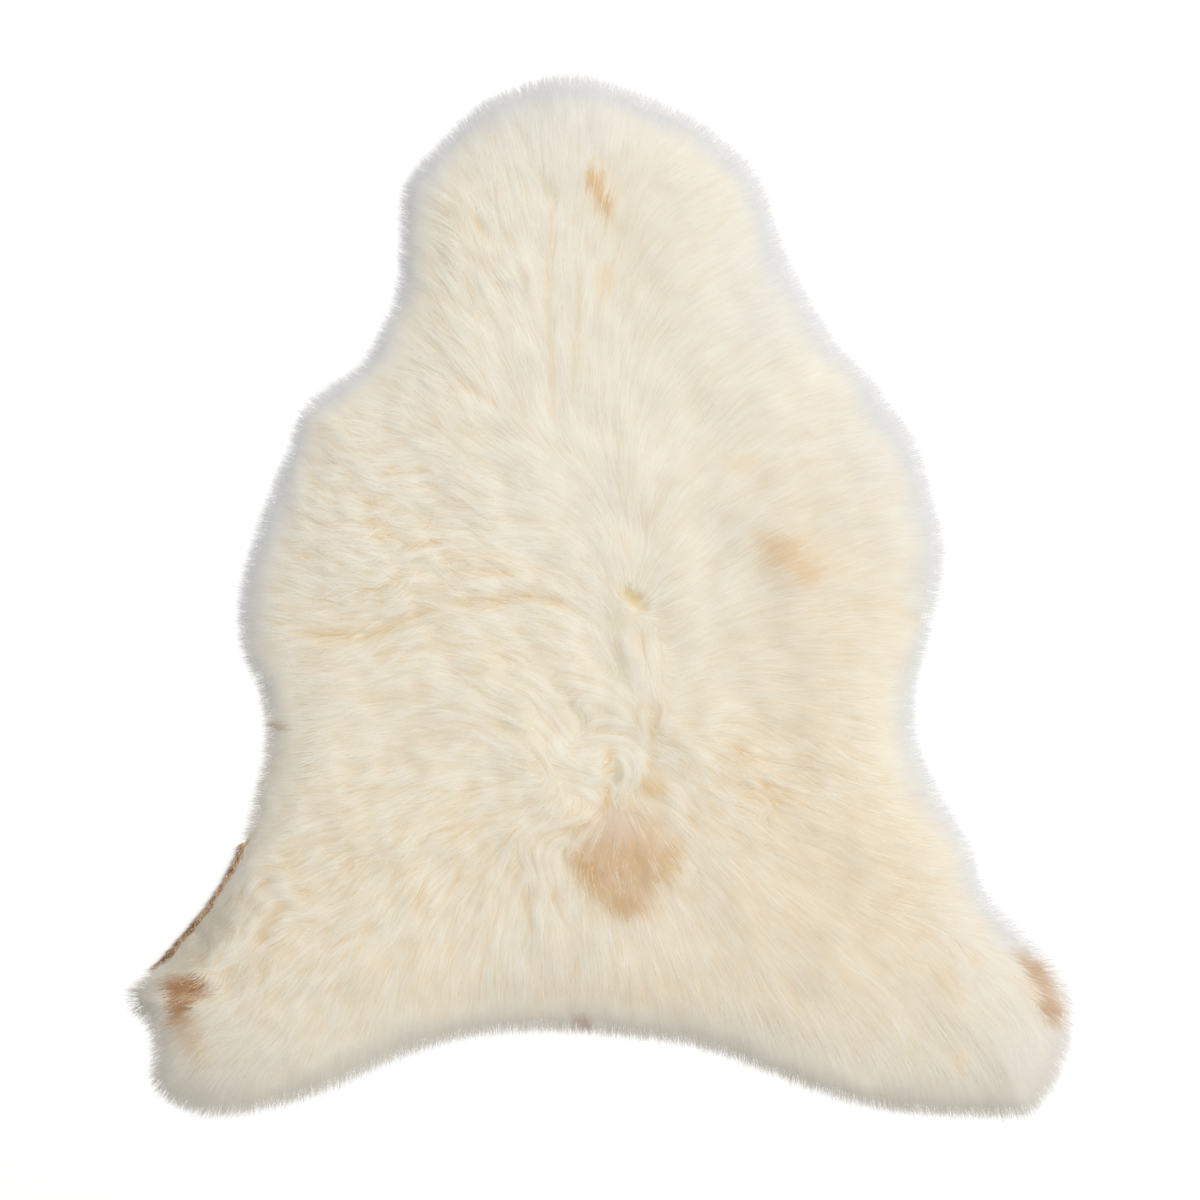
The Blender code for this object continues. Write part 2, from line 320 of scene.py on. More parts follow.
# Where the wool is unruly
RUFFLES = tuple(Region(*row) for row in (
    ("left_flank", -190, 20, 140, 100, 0.62),
    ("left_shoulder", -200, 140, 110, 80, 0.42),
    ("loins", -30, -110, 100, 110, 0.28),
    ("left_haunch", -180, -240, 150, 110, 0.40),
    ("left_leg", -350, -330, 90, 110, 0.55),
    ("right_loin", 160, -170, 80, 55, 0.45),
    ("left_of_the_neck", -120, 340, 60, 130, 0.38),
    ("rump", 20, -230, 70, 60, 0.35),
    ("hock", -395, -345, 45, 60, 0.40),
))

# Where the wool's grease makes it warmer, or its lack cooler
GREASE = tuple(Region(*row) for row in (
    ("loins", -25, -140, 70, 85, -0.13),
    ("right_thigh", 210, -285, 145, 130, 0.22),
    ("right_side", 230, 10, 120, 200, 0.18),
    ("neck_right", 100, 390, 90, 100, 0.10),
    ("right_leg", 440, -440, 60, 70, -0.12),
    ("left_leg", -400, -440, 80, 60, -0.08),
    ("neck_middle", 20, 350, 32, 70, 0.16),
    ("left_side", -100, 120, 120, 110, -0.09),
    ("left_flank", -220, 46, 45, 50, -0.14),
    ("right_middle", 110, -5, 80, 45, -0.06),
    ("right_rump_edge", 325, -290, 45, 90, 0.12),
    ("hind_left", -190, -390, 70, 40, 0.12),
    ("hind_middle", 15, -404, 110, 34, 0.28),
))

# Where its lumps hardly show
EVEN = tuple(Region(*row) for row in (
    ("right_foot", 372, -425, 60, 60, 0.75),
    ("left_hock", -360, -296, 42, 42, 0.80),
))

# Where it is painted greyer and darker, as at the rim: partly the wool's own grey, partly painted shade
GREYNESS = tuple(Region(*row) for row in (
    ("neck_right", 120, 410, 90, 110, 0.12),
    ("neck_left", -70, 430, 110, 70, 0.12),
    ("neck_top", -30, 484, 115, 38, 0.30),
    ("neck_right_rim", 178, 300, 42, 90, 0.22),
    ("right_shoulder", 268, 160, 48, 95, 0.28),
    ("right_haunch_rim", 350, -300, 38, 90, 0.12),
    ("left_shoulder", -215, 130, 100, 100, 0.12),
    ("left_shank", -435, -455, 50, 55, 0.40),
    ("left_heel", -460, -404, 34, 42, 0.34),
    ("left_foot", -378, -484, 92, 42, 0.48),
    ("left_shank_inner", -350, -400, 60, 80, 0.24),
    ("right_shank", 435, -440, 60, 60, 0.22),
    ("right_foot", 400, -492, 80, 34, 0.30),
    ("right_rim", 315, 130, 35, 120, 0.16),
    ("hind_rim", 60, -435, 300, 36, 0.14),
    ("left_rump", -58, -386, 66, 52, 0.18),
    ("neck_right_below", 146, 318, 52, 80, 0.14),
    ("right_hock_rim", 396, -350, 40, 60, 0.16),
    ("left_foreleg_rim", -276, 20, 52, 42, 0.14),
))

# Where it is curlier
CURLS = Region("loins", -12, -100, 75, 120, 0.8)

BARE_EDGES = tuple(BareEdge(*row) for row in (
    ("below_the_hock", -368, -306, 4.2),
    ("hock", -306, -279, 1.8),
    ("above_the_hock", -279, -246, 2.4),
))

LOCK_PATHS = tuple(LockPath(*row) for row in (
    # Over the loins
    (9, ((-52, -64), (-30, -70), (-8, -77), (8, -84), (20, -92), (28, -101))),
    (8, ((-40, -84), (-20, -88), (0, -93), (14, -99), (24, -106))),
    (11, ((-24, -99), (-4, -101), (12, -106), (24, -114), (31, -124), (33, -134))),
    (8, ((-14, -134), (-4, -126), (10, -123), (24, -126), (35, -131))),
    (8, ((-62, -104), (-48, -112), (-40, -124), (-30, -136), (-18, -146))),
    (9, ((-70, -116), (-56, -128), (-44, -140), (-36, -154), (-24, -162))),
    (8, ((-74, -140), (-60, -150), (-50, -164), (-42, -178))),
    (8, ((-82, -86), (-68, -94), (-56, -106), (-46, -118))),
    (8, ((-92, -72), (-72, -78), (-54, -88), (-38, -100))),
    (7, ((46, -104), (42, -118), (46, -132), (50, -146))),
    (5, ((61, -98), (65, -110), (62, -124), (56, -134))),
    # The ringlet, from its outside in
    (8, ((-24, -148), (-8, -143), (10, -140), (26, -142),
        (37, -151), (43, -165), (44, -176))),
    (8, ((-14, -158), (2, -153), (16, -150), (29, -154),
        (37, -165), (39, -179), (34, -190), (24, -196))),
    (6, ((8, -160), (19, -158), (27, -166), (29, -178), (23, -187), (13, -190))),
    # Beside it
    (10, ((-46, -156), (-28, -165), (-12, -171), (2, -173), (12, -168))),
    (10, ((-40, -170), (-24, -179), (-8, -184), (6, -182))),
    (10, ((-34, -182), (-18, -190), (-4, -198), (3, -209))),
    # Over the rump, left of the tan patch
    (9, ((4, -200), (-4, -212), (-18, -221), (-36, -226), (-54, -233), (-66, -243), (-72, -256))),
    (9, ((-38, -204), (-48, -220), (-62, -232), (-74, -242),
        (-73, -258), (-66, -274), (-60, -290))),
    (9, ((-30, -228), (-44, -234), (-56, -242), (-60, -256), (-56, -272), (-50, -288))),
    (9, ((-24, -240), (-38, -242), (-48, -250), (-50, -264), (-46, -280), (-42, -296))),
    (8, ((-80, -262), (-88, -276), (-94, -290), (-96, -306))),
    (8, ((-70, -268), (-76, -284), (-82, -300), (-86, -318))),
    (8, ((-40, -290), (-38, -304), (-32, -318), (-26, -330))),
    (8, ((-104, -286), (-110, -300), (-116, -314), (-124, -330))),
    # Fanning out over the tan patch
    (9, ((6, -208), (-2, -222), (-14, -236), (-26, -250))),
    (9, ((8, -208), (4, -224), (-4, -240), (-10, -256), (-14, -270))),
    (9, ((12, -208), (12, -226), (6, -244), (2, -262), (2, -278))),
    (9, ((16, -208), (20, -226), (18, -244), (14, -262), (14, -280))),
    (9, ((22, -209), (28, -226), (30, -244), (26, -262), (24, -280))),
    (9, ((28, -210), (36, -226), (44, -244), (50, -260))),
    (9, ((36, -212), (48, -224), (58, -240), (66, -256))),
    # Beside the bare edge
    (11, ((-306, -276), (-326, -274), (-342, -282), (-352, -298), (-357, -316), (-362, -334))),
    (11, ((-300, -290), (-320, -288), (-336, -296), (-348, -312), (-356, -330))),
    (11, ((-296, -306), (-316, -304), (-332, -312), (-344, -328), (-352, -344))),
    (11, ((-290, -322), (-310, -322), (-328, -332), (-342, -346), (-350, -358))),
    # Down the spine
    (16, ((26, -30), (30, -48), (35, -66), (40, -84), (46, -104))),
    (14, ((48, -26), (52, -46), (56, -66), (58, -88))),
    # Right of the loins
    (7, ((140, -180), (156, -186), (168, -194), (178, -204))),
    (6, ((148, -194), (160, -198), (169, -206), (166, -216), (158, -219))),
))

STAINS = tuple(Stain(*row) for row in (
    ("neck_faded", 4, 402, 34, 18, -70, "#DFC9A6", 0.45),
    ("neck", -3, 413, 16, 10, -84, "#CDA673", 0.78),
    ("neck_end", 6, 391, 15, 10, -60, "#CBA26D", 0.78),
    ("below_the_neck", 6, 314, 16, 11, 85, "#DFC6A6", 0.5),
    ("right_shoulder", 142, 133, 22, 11, 10, "#DFC59C", 0.35),
    ("right_flank", 194, 37, 44, 31, -20, "#DFC8A6", 0.52),
    ("right_flank_core", 182, 46, 27, 17, -25, "#D6B38B", 0.60),
    ("right_flank_end", 204, 24, 22, 12, -60, "#D8B68B", 0.50),
    ("cowlick", 35, -2, 17, 9, -38, "#CDB587", 0.80),
    ("back_tuft", 54, -190, 16, 14, 0, "#D9BB8A", 0.75),
    ("rump", 26, -262, 58, 52, 90, "#CCAD87", 1.0),
    ("rump_left", -12, -273, 26, 13, -58, "#C2995F", 0.7),
    ("rump_tip", 26, -306, 28, 14, -15, "#C8A470", 0.65),
    ("rump_right", 72, -262, 28, 13, 62, "#C9A673", 0.6),
    ("rump_top", 22, -228, 24, 20, 0, "#D2BEAA", 0.8),
    # partly thin wool, partly painted shadow of the tuft beside it
    ("thin_wool_and_shadow_over_the_hock", -386, -337, 62, 20, 52, "#9F9883", 0.55),
    # painted shade round the knob at the hock
    ("hock_knob", -462, -404, 24, 22, 0, "#A9A59B", 0.780),
    ("right_shank", 436, -462, 56, 46, 0, "#DCD3CA", 0.40),
    ("right_hind_leg", 438, -377, 28, 11, -52, "#A37A54", 0.88),
    ("right_hind_leg_below", 451, -411, 22, 12, -64, "#9C7450", 0.88),
    ("right_hind_leg_faded", 442, -392, 52, 24, -56, "#D3B898", 0.4),
    # painted shadow at the right hock
    ("right_hock", 346, -382, 30, 13, -62, "#D9C19B", 0.4),
    ("right_rump_speck", 361, -462, 15, 6, 80, "#DFC797", 0.40),
    ("right_hock_speck", 376, -359, 8, 8, 0, "#DFC797", 0.4),
    ("left_hind_leg", -412, -389, 30, 12, -8, "#996840", 1.0),
    ("left_hind_leg_below", -417, -409, 28, 15, 78, "#A4784D", 0.95),
    ("left_hind_leg_faded", -404, -444, 30, 17, -60, "#C4AA88", 0.6),
    ("left_waist", -317, -129, 9, 6, 0, "#A87E58", 0.6),
    ("hind_rim", -14, -425, 13, 8, 0, "#9C7A64", 0.6),
))


# ------------------------------
# Small tools


def linear(colour: str) -> Four:
    """Turns an sRGB hex colour into linear light.

    Args:
        colour: the colour as #RRGGBB.

    Returns:
        Red, green, blue and an alpha of 1.
    """
    shares = (int(colour[at : at + 2], 16) / 255 for at in (1, 3, 5))
    red, green, blue = (s / 12.92 if s <= 0.04045 else ((s + 0.055) / 1.055) ** 2.4 for s in shares)
    return red, green, blue, 1.0


def add_node(tree: NodeTree, kind: str, inputs: dict | None = None, **settings) -> Node:
    """Adds a node with its settings and its inputs.

    Args:
        tree: the material's or the world's nodes.
        kind: the node's type.
        inputs: a value or another node's output for each input, by name or number.
        **settings: the node's own properties.

    Returns:
        The node.
    """
    node = tree.nodes.new(kind)
    for name, value in settings.items():
        setattr(node, name, value)
    for key, value in (inputs or {}).items():
        if isinstance(value, NodeSocket):
            tree.links.new(value, node.inputs[key])
        else:
            node.inputs[key].default_value = value
    return node


def eased(low: float, high: float, value: Array) -> Array:
    """Gives 0 below low, 1 above high, and a smooth rise between."""
    share = np.clip((value - low) / (high - low), 0, 1)
    return share * share * (3 - 2 * share)


def at_least(least: float, share: Array) -> Array:
    """Gives least where the share is 0, 1 where it is 1, and what lies between."""
    return least + (1 - least) * share


def fading(away: Array, reach: float) -> Array:
    """Gives 1 at no distance, and fades towards 0 past the reach."""
    return np.exp(-((away / reach) ** 2))


def unit(vectors: Array) -> Array:
    """Gives each vector in the last axis a length of one."""
    return vectors / np.maximum(np.linalg.norm(vectors, axis=-1, keepdims=True), TINY)


def to_the_right(vectors: Array) -> Array:
    """Turns flat vectors a quarter turn clockwise."""
    return np.stack([vectors[..., 1], -vectors[..., 0]], axis=-1)


def turned(vectors: Array, angle: Array) -> Array:
    """Turns flat vectors by an angle in radians each."""
    cosine, sine = np.cos(angle), np.sin(angle)
    across = vectors[..., 0] * cosine - vectors[..., 1] * sine
    along = vectors[..., 0] * sine + vectors[..., 1] * cosine
    return np.stack([across, along], axis=-1)


def smooth_curve(points: Array) -> tuple[Array, Array]:
    """Draws a smooth curve through points, from the second of them to the last but one.

    Args:
        points: the points.

    Returns:
        The curve's points, and how far along it each one is.
    """
    before, start, after, beyond = points[:-3], points[1:-2], points[2:-1], points[3:]
    share = np.linspace(0, 1, CURVE_STEPS + 1)[:-1, None, None]
    curve = start + 0.5 * (
        (after - before) * share
        + (2 * before - 5 * start + 4 * after - beyond) * share**2
        + (3 * start - before - 3 * after + beyond) * share**3
    )
    curve = np.vstack([curve.transpose(1, 0, 2).reshape(-1, 2), points[-2]])
    return curve, np.concatenate([[0.0], np.cumsum(np.linalg.norm(np.diff(curve, axis=0), axis=1))])


def read_curve(curve: Array, gone: Array, at: Array) -> Array:
    """Reads a curve at distances along it, from its points and how far along each one is."""
    return np.column_stack([np.interp(at, gone, part) for part in curve.T])


def smooth_path(points: tuple[Pair, ...]) -> tuple[Array, float]:
    """Draws a smooth line through points.

    Args:
        points: the points, in millimetres.

    Returns:
        Places an even step apart, and the line's length.
    """
    here = np.array(points) * MM
    curve, gone = smooth_curve(np.vstack([2 * here[0] - here[1], here, 2 * here[-1] - here[-2]]))
    return read_curve(curve, gone, np.linspace(0, gone[-1], PATH_PLACES)), float(gone[-1])


def read_paths(paths: Array, share: Array) -> Array:
    """Reads paths at shares of their lengths.

    Args:
        paths: each path's points, an even step apart.
        share: the shares, in a row for each path, or in any number of rows for a lone path.

    Returns:
        A point for each share.
    """
    last = paths.shape[1] - 1
    spot = np.clip(share, 0, 1) * last
    step = np.minimum(spot.astype(int), last - 1)
    rows = np.arange(len(paths))[:, None]
    rest = (spot - step)[..., None]
    return paths[rows, step] * (1 - rest) + paths[rows, step + 1] * rest


# A Mix node's sockets for colours, and a Map Range node's for its two ranges
MIX_SHARE, MIX_A, MIX_B, MIXED = 0, 6, 7, 2
FROM_LOW, FROM_HIGH, TO_LOW, TO_HIGH = 1, 2, 3, 4


def new_material(name: str, roughness: float, ior: float) -> tuple[Material, Node]:
    """Makes a material with a plain shader.

    Args:
        name: its name.
        roughness: the shader's roughness.
        ior: its index of refraction.

    Returns:
        The material and its shader.
    """
    made = bpy.data.materials.new(name)
    made.use_nodes = True
    shader = made.node_tree.nodes["Principled BSDF"]
    shader.inputs["Roughness"].default_value = roughness
    shader.inputs["IOR"].default_value = ior
    return made, shader


def object_from_bmesh(bm: bmesh.types.BMesh, name: str, smooth: bool = True) -> Object:
    """Makes an object at the origin from a bmesh, and frees the bmesh.

    Args:
        bm: the shape, in its place.
        name: the object's name.
        smooth: whether its faces are shaded smooth.

    Returns:
        The object.
    """
    mesh = bpy.data.meshes.new(name)
    bm.to_mesh(mesh)
    bm.free()
    if smooth:
        mesh.shade_smooth()
    made = bpy.data.objects.new(name, mesh)
    bpy.context.scene.collection.objects.link(made)
    return made


# ------------------------------
# The pelt's shape


@dataclass
class Chart:
    """Numbers known on an even grid over the rug, which can be read anywhere between its points."""

    corner: Array  # the grid's lowest corner
    pitch: float  # how far apart its points are
    values: Array  # rows along the rug, columns across it and, for vectors, their parts

    def at(self, places: Array) -> Array:
        """Reads the chart.

        Args:
            places: points on the floor, in the last axis.

        Returns:
            The value at each place.
        """
        spot = (places - self.corner) / self.pitch
        last = np.array(self.values.shape[1::-1]) - 2
        cell = np.clip(np.floor(spot).astype(int), 0, last)
        share = np.clip(spot - cell, 0, 1)
        column, row = cell[..., 0], cell[..., 1]
        right, up = share[..., 0], share[..., 1]
        if self.values.ndim == 3:
            right, up = right[..., None], up[..., None]
        near = self.values[row, column] * (1 - right) + self.values[row, column + 1] * right
        far = self.values[row + 1, column] * (1 - right) + self.values[row + 1, column + 1] * right
        return near * (1 - up) + far * up


@dataclass
class Pelt:
    """What all the pieces are shaped by: the outline, how high the wool lies, and which way."""

    pile_height: float = 38 * MM  # the wool's height over the middle of the back
    rim_height: float = 13 * MM  # its height a lock's reach inside the outline
    tip_height: float = 2.5 * MM  # its height at the outline
    lock_reach: float = 24 * MM  # how far the rim's locks reach
    crown_width: float = 110 * MM  # from there in to where the wool stands at full height
    fullness: float = 0.8  # under 1, the wool rises sooner from its rim
    rim_fullness: float = 0.85  # the same for the short rise at the outline
    least_top: float = 1.5 * MM  # its height where it is lowest
    big_lump: Pair = (95 * MM, 6.0 * MM)  # size and height of the wool's broad lumps
    small_lump: Pair = (38 * MM, 4.5 * MM)  # size and height of its small ones
    lump_slice: float = 0.37  # which slice of the noise they follow
    rim_lumps: float = 0.35  # how high they are at the rim, from 0 to 1
    # How much of the lumps' height the light picks out, since the strands bridge them.
    seen_lumps: float = 0.52
    seen_partings: float = 0.10  # how much of the partings' depth it does
    trough_reach: float = 0.5  # how far a parting's trough reaches from its line, in its widths
    # The height and the width of the wool's roll at its rim, as the light picks it out.
    shoulder: Pair = (22 * MM, 34 * MM)
    # Size and height of the tufts' humps where the wool is unruly, as the light picks them out.
    hump: Pair = (17 * MM, 2.2 * MM)
    least_hollow_shade: float = 0.15  # how much golden shade is painted in the hollows between them where the wool is calm, from 0 to 1
    # Size of the broad waves in the wool's lie, and how far they turn it in radians.
    big_sway: Pair = (85 * MM, 0.55)
    small_sway: Pair = (34 * MM, 0.40)  # the same of the small waves
    least_sway: float = 0.2  # how much of both is left where the wool is calm, from 0 to 1
    calm: float = 0.20  # how unruly the wool is outside its ruffles, from 0 to 1
    parting_push: float = 0.4  # how hard a parting turns the wool away from it
    parting_reach: float = 0.6  # how far from its line it does, in its widths
    lock_hold: float = 0.8  # how far from a lock's line the wool follows it, in lock widths
    rim_turn: float = 0.45  # how far the wool turns outwards at its rim, from 0 to 1
    rim_turn_band: Pair = (5 * MM, 55 * MM)  # where inside the outline that turn is full and where it starts
    # How far inside the bare edge the wool lies along it, and where it no longer does.
    along_edge: Pair = (10 * MM, 34 * MM)
    skin_inset: float = 22 * MM  # how far the skin's edge lies inside the wool's outline
    # Where the skin's bare edge starts and ends, along the left hind leg.
    bare_ends: Pair = (-372 * MM, -246 * MM)
    bare_inset: float = 3 * MM  # how far the skin lies inside the outline there
    skin_blend: float = 16 * MM  # how long its edge takes to get from the one inset to the other
    bare_blend: float = 9 * MM  # how long the wool's edge takes to get from one stretch's inset to the next
    bare_ragged: Pair = (11 * MM, 2 * MM)  # size and depth of the nicks in that edge
    # How far inside the outline the wool's edge still counts, and where it no longer does.
    bare_band: Pair = (18 * MM, 34 * MM)
    full_crease: float = 7.0  # how deep a parting is whose bottom gets the full painted golden shade, in millimetres
    crease_reach: float = 0.32  # how far from its line that painted shade reaches, in its widths
    small_crease_shade: Pair = (13 * MM, 0.40)  # size and strength of the small patches of painted golden shade that no table gives
    big_crease_shade: Pair = (30 * MM, 0.25)  # the same of the large ones
    crease_patches: Pair = (0.08, 0.5)  # from where to where in the noise they deepen
    hind_grease: float = 0.16  # how much warmer the wool is at the hind legs than at the neck
    grease_ends: Pair = (-320 * MM, 400 * MM)  # where along the rug that starts to fade and where it ends
    rim_grease: float = 0.35  # how much of its warmth is left at the rim, from 0 to 1
    # How far inside the outline that is so, and where all of it is there.
    grease_band: Pair = (10 * MM, 75 * MM)
    grey_band: float = 36 * MM  # how wide the grey rim is, partly the thin wool's own grey and partly painted shade
    grey_uneven: Pair = (45 * MM, 0.5)  # size and depth of the waves in its width
    grey_past: float = 4 * MM  # how far past the outline it is full
    outline_step: float = 6 * MM  # how far apart the outline's points are
    pitch: float = 3 * MM  # how far apart the grid's are
    margin: float = 24 * MM  # how far the grid reaches past the outline
    outline: Array = field(init=False)
    grid: Array = field(init=False)
    inside: Chart = field(init=False)
    top: Chart = field(init=False)
    slope: Chart = field(init=False)
    unrest: Chart = field(init=False)
    lie: Chart = field(init=False)
    spread: Chart = field(init=False)
    crease_shade: Chart = field(init=False)
    hollow_shade: Chart = field(init=False)
    grease: Chart = field(init=False)
    grey_and_shade: Chart = field(init=False)
    bare: Chart = field(init=False)
    skin: Chart = field(init=False)

    def __post_init__(self) -> None:
        """Works out the outline and the charts from the sizes."""
        self.outline = self.draw_outline()
        low = self.outline.min(axis=0) - self.margin
        high = self.outline.max(axis=0) + self.margin
        across, along = (np.arange(low[i], high[i] + self.pitch, self.pitch) for i in (0, 1))
        self.grid = np.stack(np.meshgrid(across, along), axis=-1)
        self.inside = self.chart(self.distance_inside(self.grid))
        self.top = self.chart(self.wool_top())
        self.unrest = self.chart(self.wool_unrest())
        self.slope = self.chart(self.seen_slope())
        self.bare = self.chart(self.bare_width())
        self.lie = self.chart(self.wool_lie())
        self.spread = self.chart(self.lie_spread())
        self.hollow_shade = self.chart(self.hollow_shade_depth())
        self.crease_shade = self.chart(self.crease_shade_depth())
        self.grease = self.chart(self.wool_grease())
        self.grey_and_shade = self.chart(self.wool_grey_and_shade())
        self.skin = self.chart(self.inside.values - self.skin_edge())

    def chart(self, values: Array) -> Chart:
        """Makes a chart of values known at the grid's points."""
        return Chart(self.grid[0, 0], self.pitch, values)

    def gradient(self, values: Array) -> Array:
        """Works out how steeply values at the grid's points rise along X and along Y."""
        return np.stack(np.gradient(values, self.pitch)[::-1], axis=-1)

    def draw_outline(self) -> Array:
        """Draws the wool's outline as a smooth closed curve through its stations, centred on the origin.

        Returns:
            Points an even step apart, clockwise from the neck's tip.
        """
        points = [(NECK_TIP.across, NECK_TIP.along)]
        points += [(s.right, s.along) for s in STATIONS]
        points += [(p.across, p.along) for p in reversed(HIND_EDGE)]
        points += [(-s.left, s.along) for s in reversed(STATIONS)]
        here = np.array(points) * MM
        curve, gone = smooth_curve(np.vstack([here[-1:], here, here[:2]]))
        at = np.linspace(0, gone[-1], round(gone[-1] / self.outline_step), endpoint=False)
        line = read_curve(curve, gone, at)
        return line - (line.min(axis=0) + line.max(axis=0)) / 2

    def distance_inside(self, places: Array) -> Array:
        """Measures how far places are inside the outline, with those outside negative.

        Args:
            places: points on the floor, in rows and columns.

        Returns:
            The distance of each.
        """
        start = self.outline
        side = np.roll(start, -1, axis=0) - start
        rise = np.where(np.abs(side[:, 1]) < TINY, TINY, side[:, 1])
        rows = []
        for row in places:
            offset = row[:, None, :] - start
            share = np.clip((offset * side).sum(-1) / (side**2).sum(-1), 0, 1)
            away = np.linalg.norm(offset - share[..., None] * side, axis=-1).min(axis=1)
            level = offset[..., 1]
            crosses = (level >= 0) != (level >= side[:, 1])
            beyond = offset[..., 0] < level / rise * side[:, 0]
            within = (crosses & beyond).sum(axis=1) % 2 == 1
            rows.append(np.where(within, away, -away))
        return np.array(rows)

    def grid_noise(self, size: float, level: float) -> Array:
        """Makes soft noise at the grid's points.

        Args:
            size: how large its lumps are.
            level: which slice of the noise is taken.

        Returns:
            Values from about -1 to 1.
        """
        flat = (self.grid / size).reshape(-1, 2).tolist()
        values = [noise.noise(Vector((x, y, level))) for x, y in flat]
        return np.array(values).reshape(self.grid.shape[:2])

    def wool_top(self) -> Array:
        """Works out how high the wool lies, with its lumps and partings, at the grid's points."""
        inside = self.inside.values
        rim = np.clip(inside / self.lock_reach, 0, 1)
        rise = np.clip((inside - self.lock_reach) / self.crown_width, 0, 1)
        crown = np.sin(rise * math.pi / 2) ** self.fullness
        height = self.tip_height + (self.rim_height - self.tip_height) * rim**self.rim_fullness
        height += (self.pile_height - self.rim_height) * crown + self.relief(1.0, 1.0)
        return np.maximum(height, self.least_top)

    def relief(self, lumps: float | Array, partings: float) -> Array:
        """Works out how far the wool stands above or below its even shape, at the grid's points.

        Args:
            lumps: how much of the lumps' height counts.
            partings: how much of the partings' depth counts.

        Returns:
            The differences in height.
        """
        rise = np.clip((self.inside.values - self.lock_reach) / self.crown_width, 0, 1)
        height = np.zeros(rise.shape)
        for size, tall in (self.big_lump, self.small_lump):
            height += lumps * (tall * self.grid_noise(size, self.lump_slice)) * at_least(self.rim_lumps, rise)
        for parting in PARTINGS + FOLDS:
            height -= partings * parting.depth * MM * self.beside_parting(parting, self.trough_reach)[0]
        return height * np.clip(self.inside.values / self.lock_reach, 0, 1)

    def seen_slope(self) -> Array:
        """Works out the slope that the light picks out at the grid's points, along X and along Y."""
        height, width = self.shoulder
        roll = height * (1 - np.exp(-np.maximum(self.inside.values, 0) / width))
        size, tall = self.hump
        humps = tall * self.grid_noise(size, HUMP_SLICE) * self.unrest.values
        lumps = self.seen_lumps * (1 - self.over(EVEN))
        return self.gradient(roll + humps + self.relief(lumps, self.seen_partings))

    def hollow_shade_depth(self) -> Array:
        """Works out how far down between the humps the grid's points lie, below 0 on top of them, for the
        golden shade painted there.
        """
        return -self.grid_noise(self.hump[0], HUMP_SLICE) * at_least(self.least_hollow_shade, self.unrest.values)

    def beside_parting(self, parting: Parting, reach: float) -> tuple[Array, Array]:
        """Weighs the grid's points by how near a parting they are.

        Args:
            parting: the parting.
            reach: how far from its line the weight fades, in the parting's widths.

        Returns:
            Each point's weight, which is 1 on the line, and its direction away from the line.
        """
        start = np.array(parting.start) * MM
        run = np.array(parting.end) * MM - start
        share = np.clip(((self.grid - start) @ run) / (run @ run), 0, 1)
        offset = self.grid - start - share[..., None] * run
        return fading(np.linalg.norm(offset, axis=-1), parting.width * reach * MM), unit(offset)

    def wool_unrest(self) -> Array:
        """Works out how unruly the wool is at the grid's points, from 0 to 1."""
        return np.minimum(self.calm + self.over(RUFFLES), 1)

    def wool_grease(self) -> Array:
        """Works out how warm its grease makes the wool at the grid's points, less so near the rim."""
        along = self.hind_grease * (1 - eased(*self.grease_ends, self.grid[..., 1]))
        kept = at_least(self.rim_grease, eased(*self.grease_band, self.inside.values))
        return (along + self.over(GREASE)) * kept

    def wool_grey_and_shade(self) -> Array:
        """Works out how grey the wool is at the grid's points, mostly in a band round the rim: partly its own
        grey, partly painted shade.
        """
        size, uneven = self.grey_uneven
        width = self.grey_band * (1 + uneven * self.grid_noise(size, RIM_SLICE))
        rim = 1 - eased(0, 1, (self.inside.values + self.grey_past) / (width + self.grey_past))
        return np.minimum(rim + self.over(GREYNESS), 1)

    def over(self, regions: tuple[Region, ...]) -> Array:
        """Adds up what regions have at the grid's points."""
        return sum(region.at(self.grid) for region in regions)

    def wool_lie(self) -> Array:
        """Works out the way the wool lies at the grid's points, from the table, whorls, partings and rim."""
        lie = self.table_lie()
        for whorl in WHORLS:
            offset = self.grid - np.array([whorl.across, whorl.along]) * MM
            away = np.linalg.norm(offset, axis=-1)
            weight = (whorl.strength * fading(away, whorl.radius * MM))[..., None]
            lie = lie * (1 - weight) + turned(unit(offset), math.radians(whorl.turn)) * weight
        for parting in PARTINGS:
            weight, outward = self.beside_parting(parting, self.parting_reach)
            lie = lie + outward * self.parting_push * weight[..., None]
        waves = (self.big_sway, self.small_sway)
        sway = sum(turn * self.grid_noise(size, SWAY_SLICE + size) for size, turn in waves)
        lie = turned(unit(lie), sway * at_least(self.least_sway, self.unrest.values))
        for lock in LOCK_PATHS:
            lie = self.combed_along(lie, lock)
        inward = unit(self.gradient(self.inside.values))
        beside = eased(0.5 * MM, 2 * MM, self.bare.values)
        beside = beside * (1 - eased(*self.along_edge, self.inside.values))
        lie = lie * (1 - beside[..., None]) + to_the_right(inward) * beside[..., None]
        low, high = self.rim_turn_band
        weight = self.rim_turn * (1 - eased(low, high, self.inside.values)) * (1 - beside)
        return unit(lie * (1 - weight[..., None]) - inward * weight[..., None])

    def combed_along(self, lie: Array, lock: LockPath) -> Array:
        """Turns the lie of the wool to follow a lock where it passes.

        Args:
            lie: the lie at the grid's points.
            lock: the lock.

        Returns:
            The lie with the lock in it.
        """
        line, _ = smooth_path(lock.points)
        ahead = unit(np.gradient(line, axis=0))
        reach = self.lock_hold * lock.width * MM
        low, high = line.min(axis=0) - 3 * reach, line.max(axis=0) + 3 * reach
        near = ((self.grid > low) & (self.grid < high)).all(axis=-1)
        away = np.linalg.norm(self.grid[near][:, None] - line, axis=-1)
        weight = fading(away.min(axis=1), reach)[:, None]
        lie[near] = lie[near] * (1 - weight) + ahead[away.argmin(axis=1)] * weight
        return lie

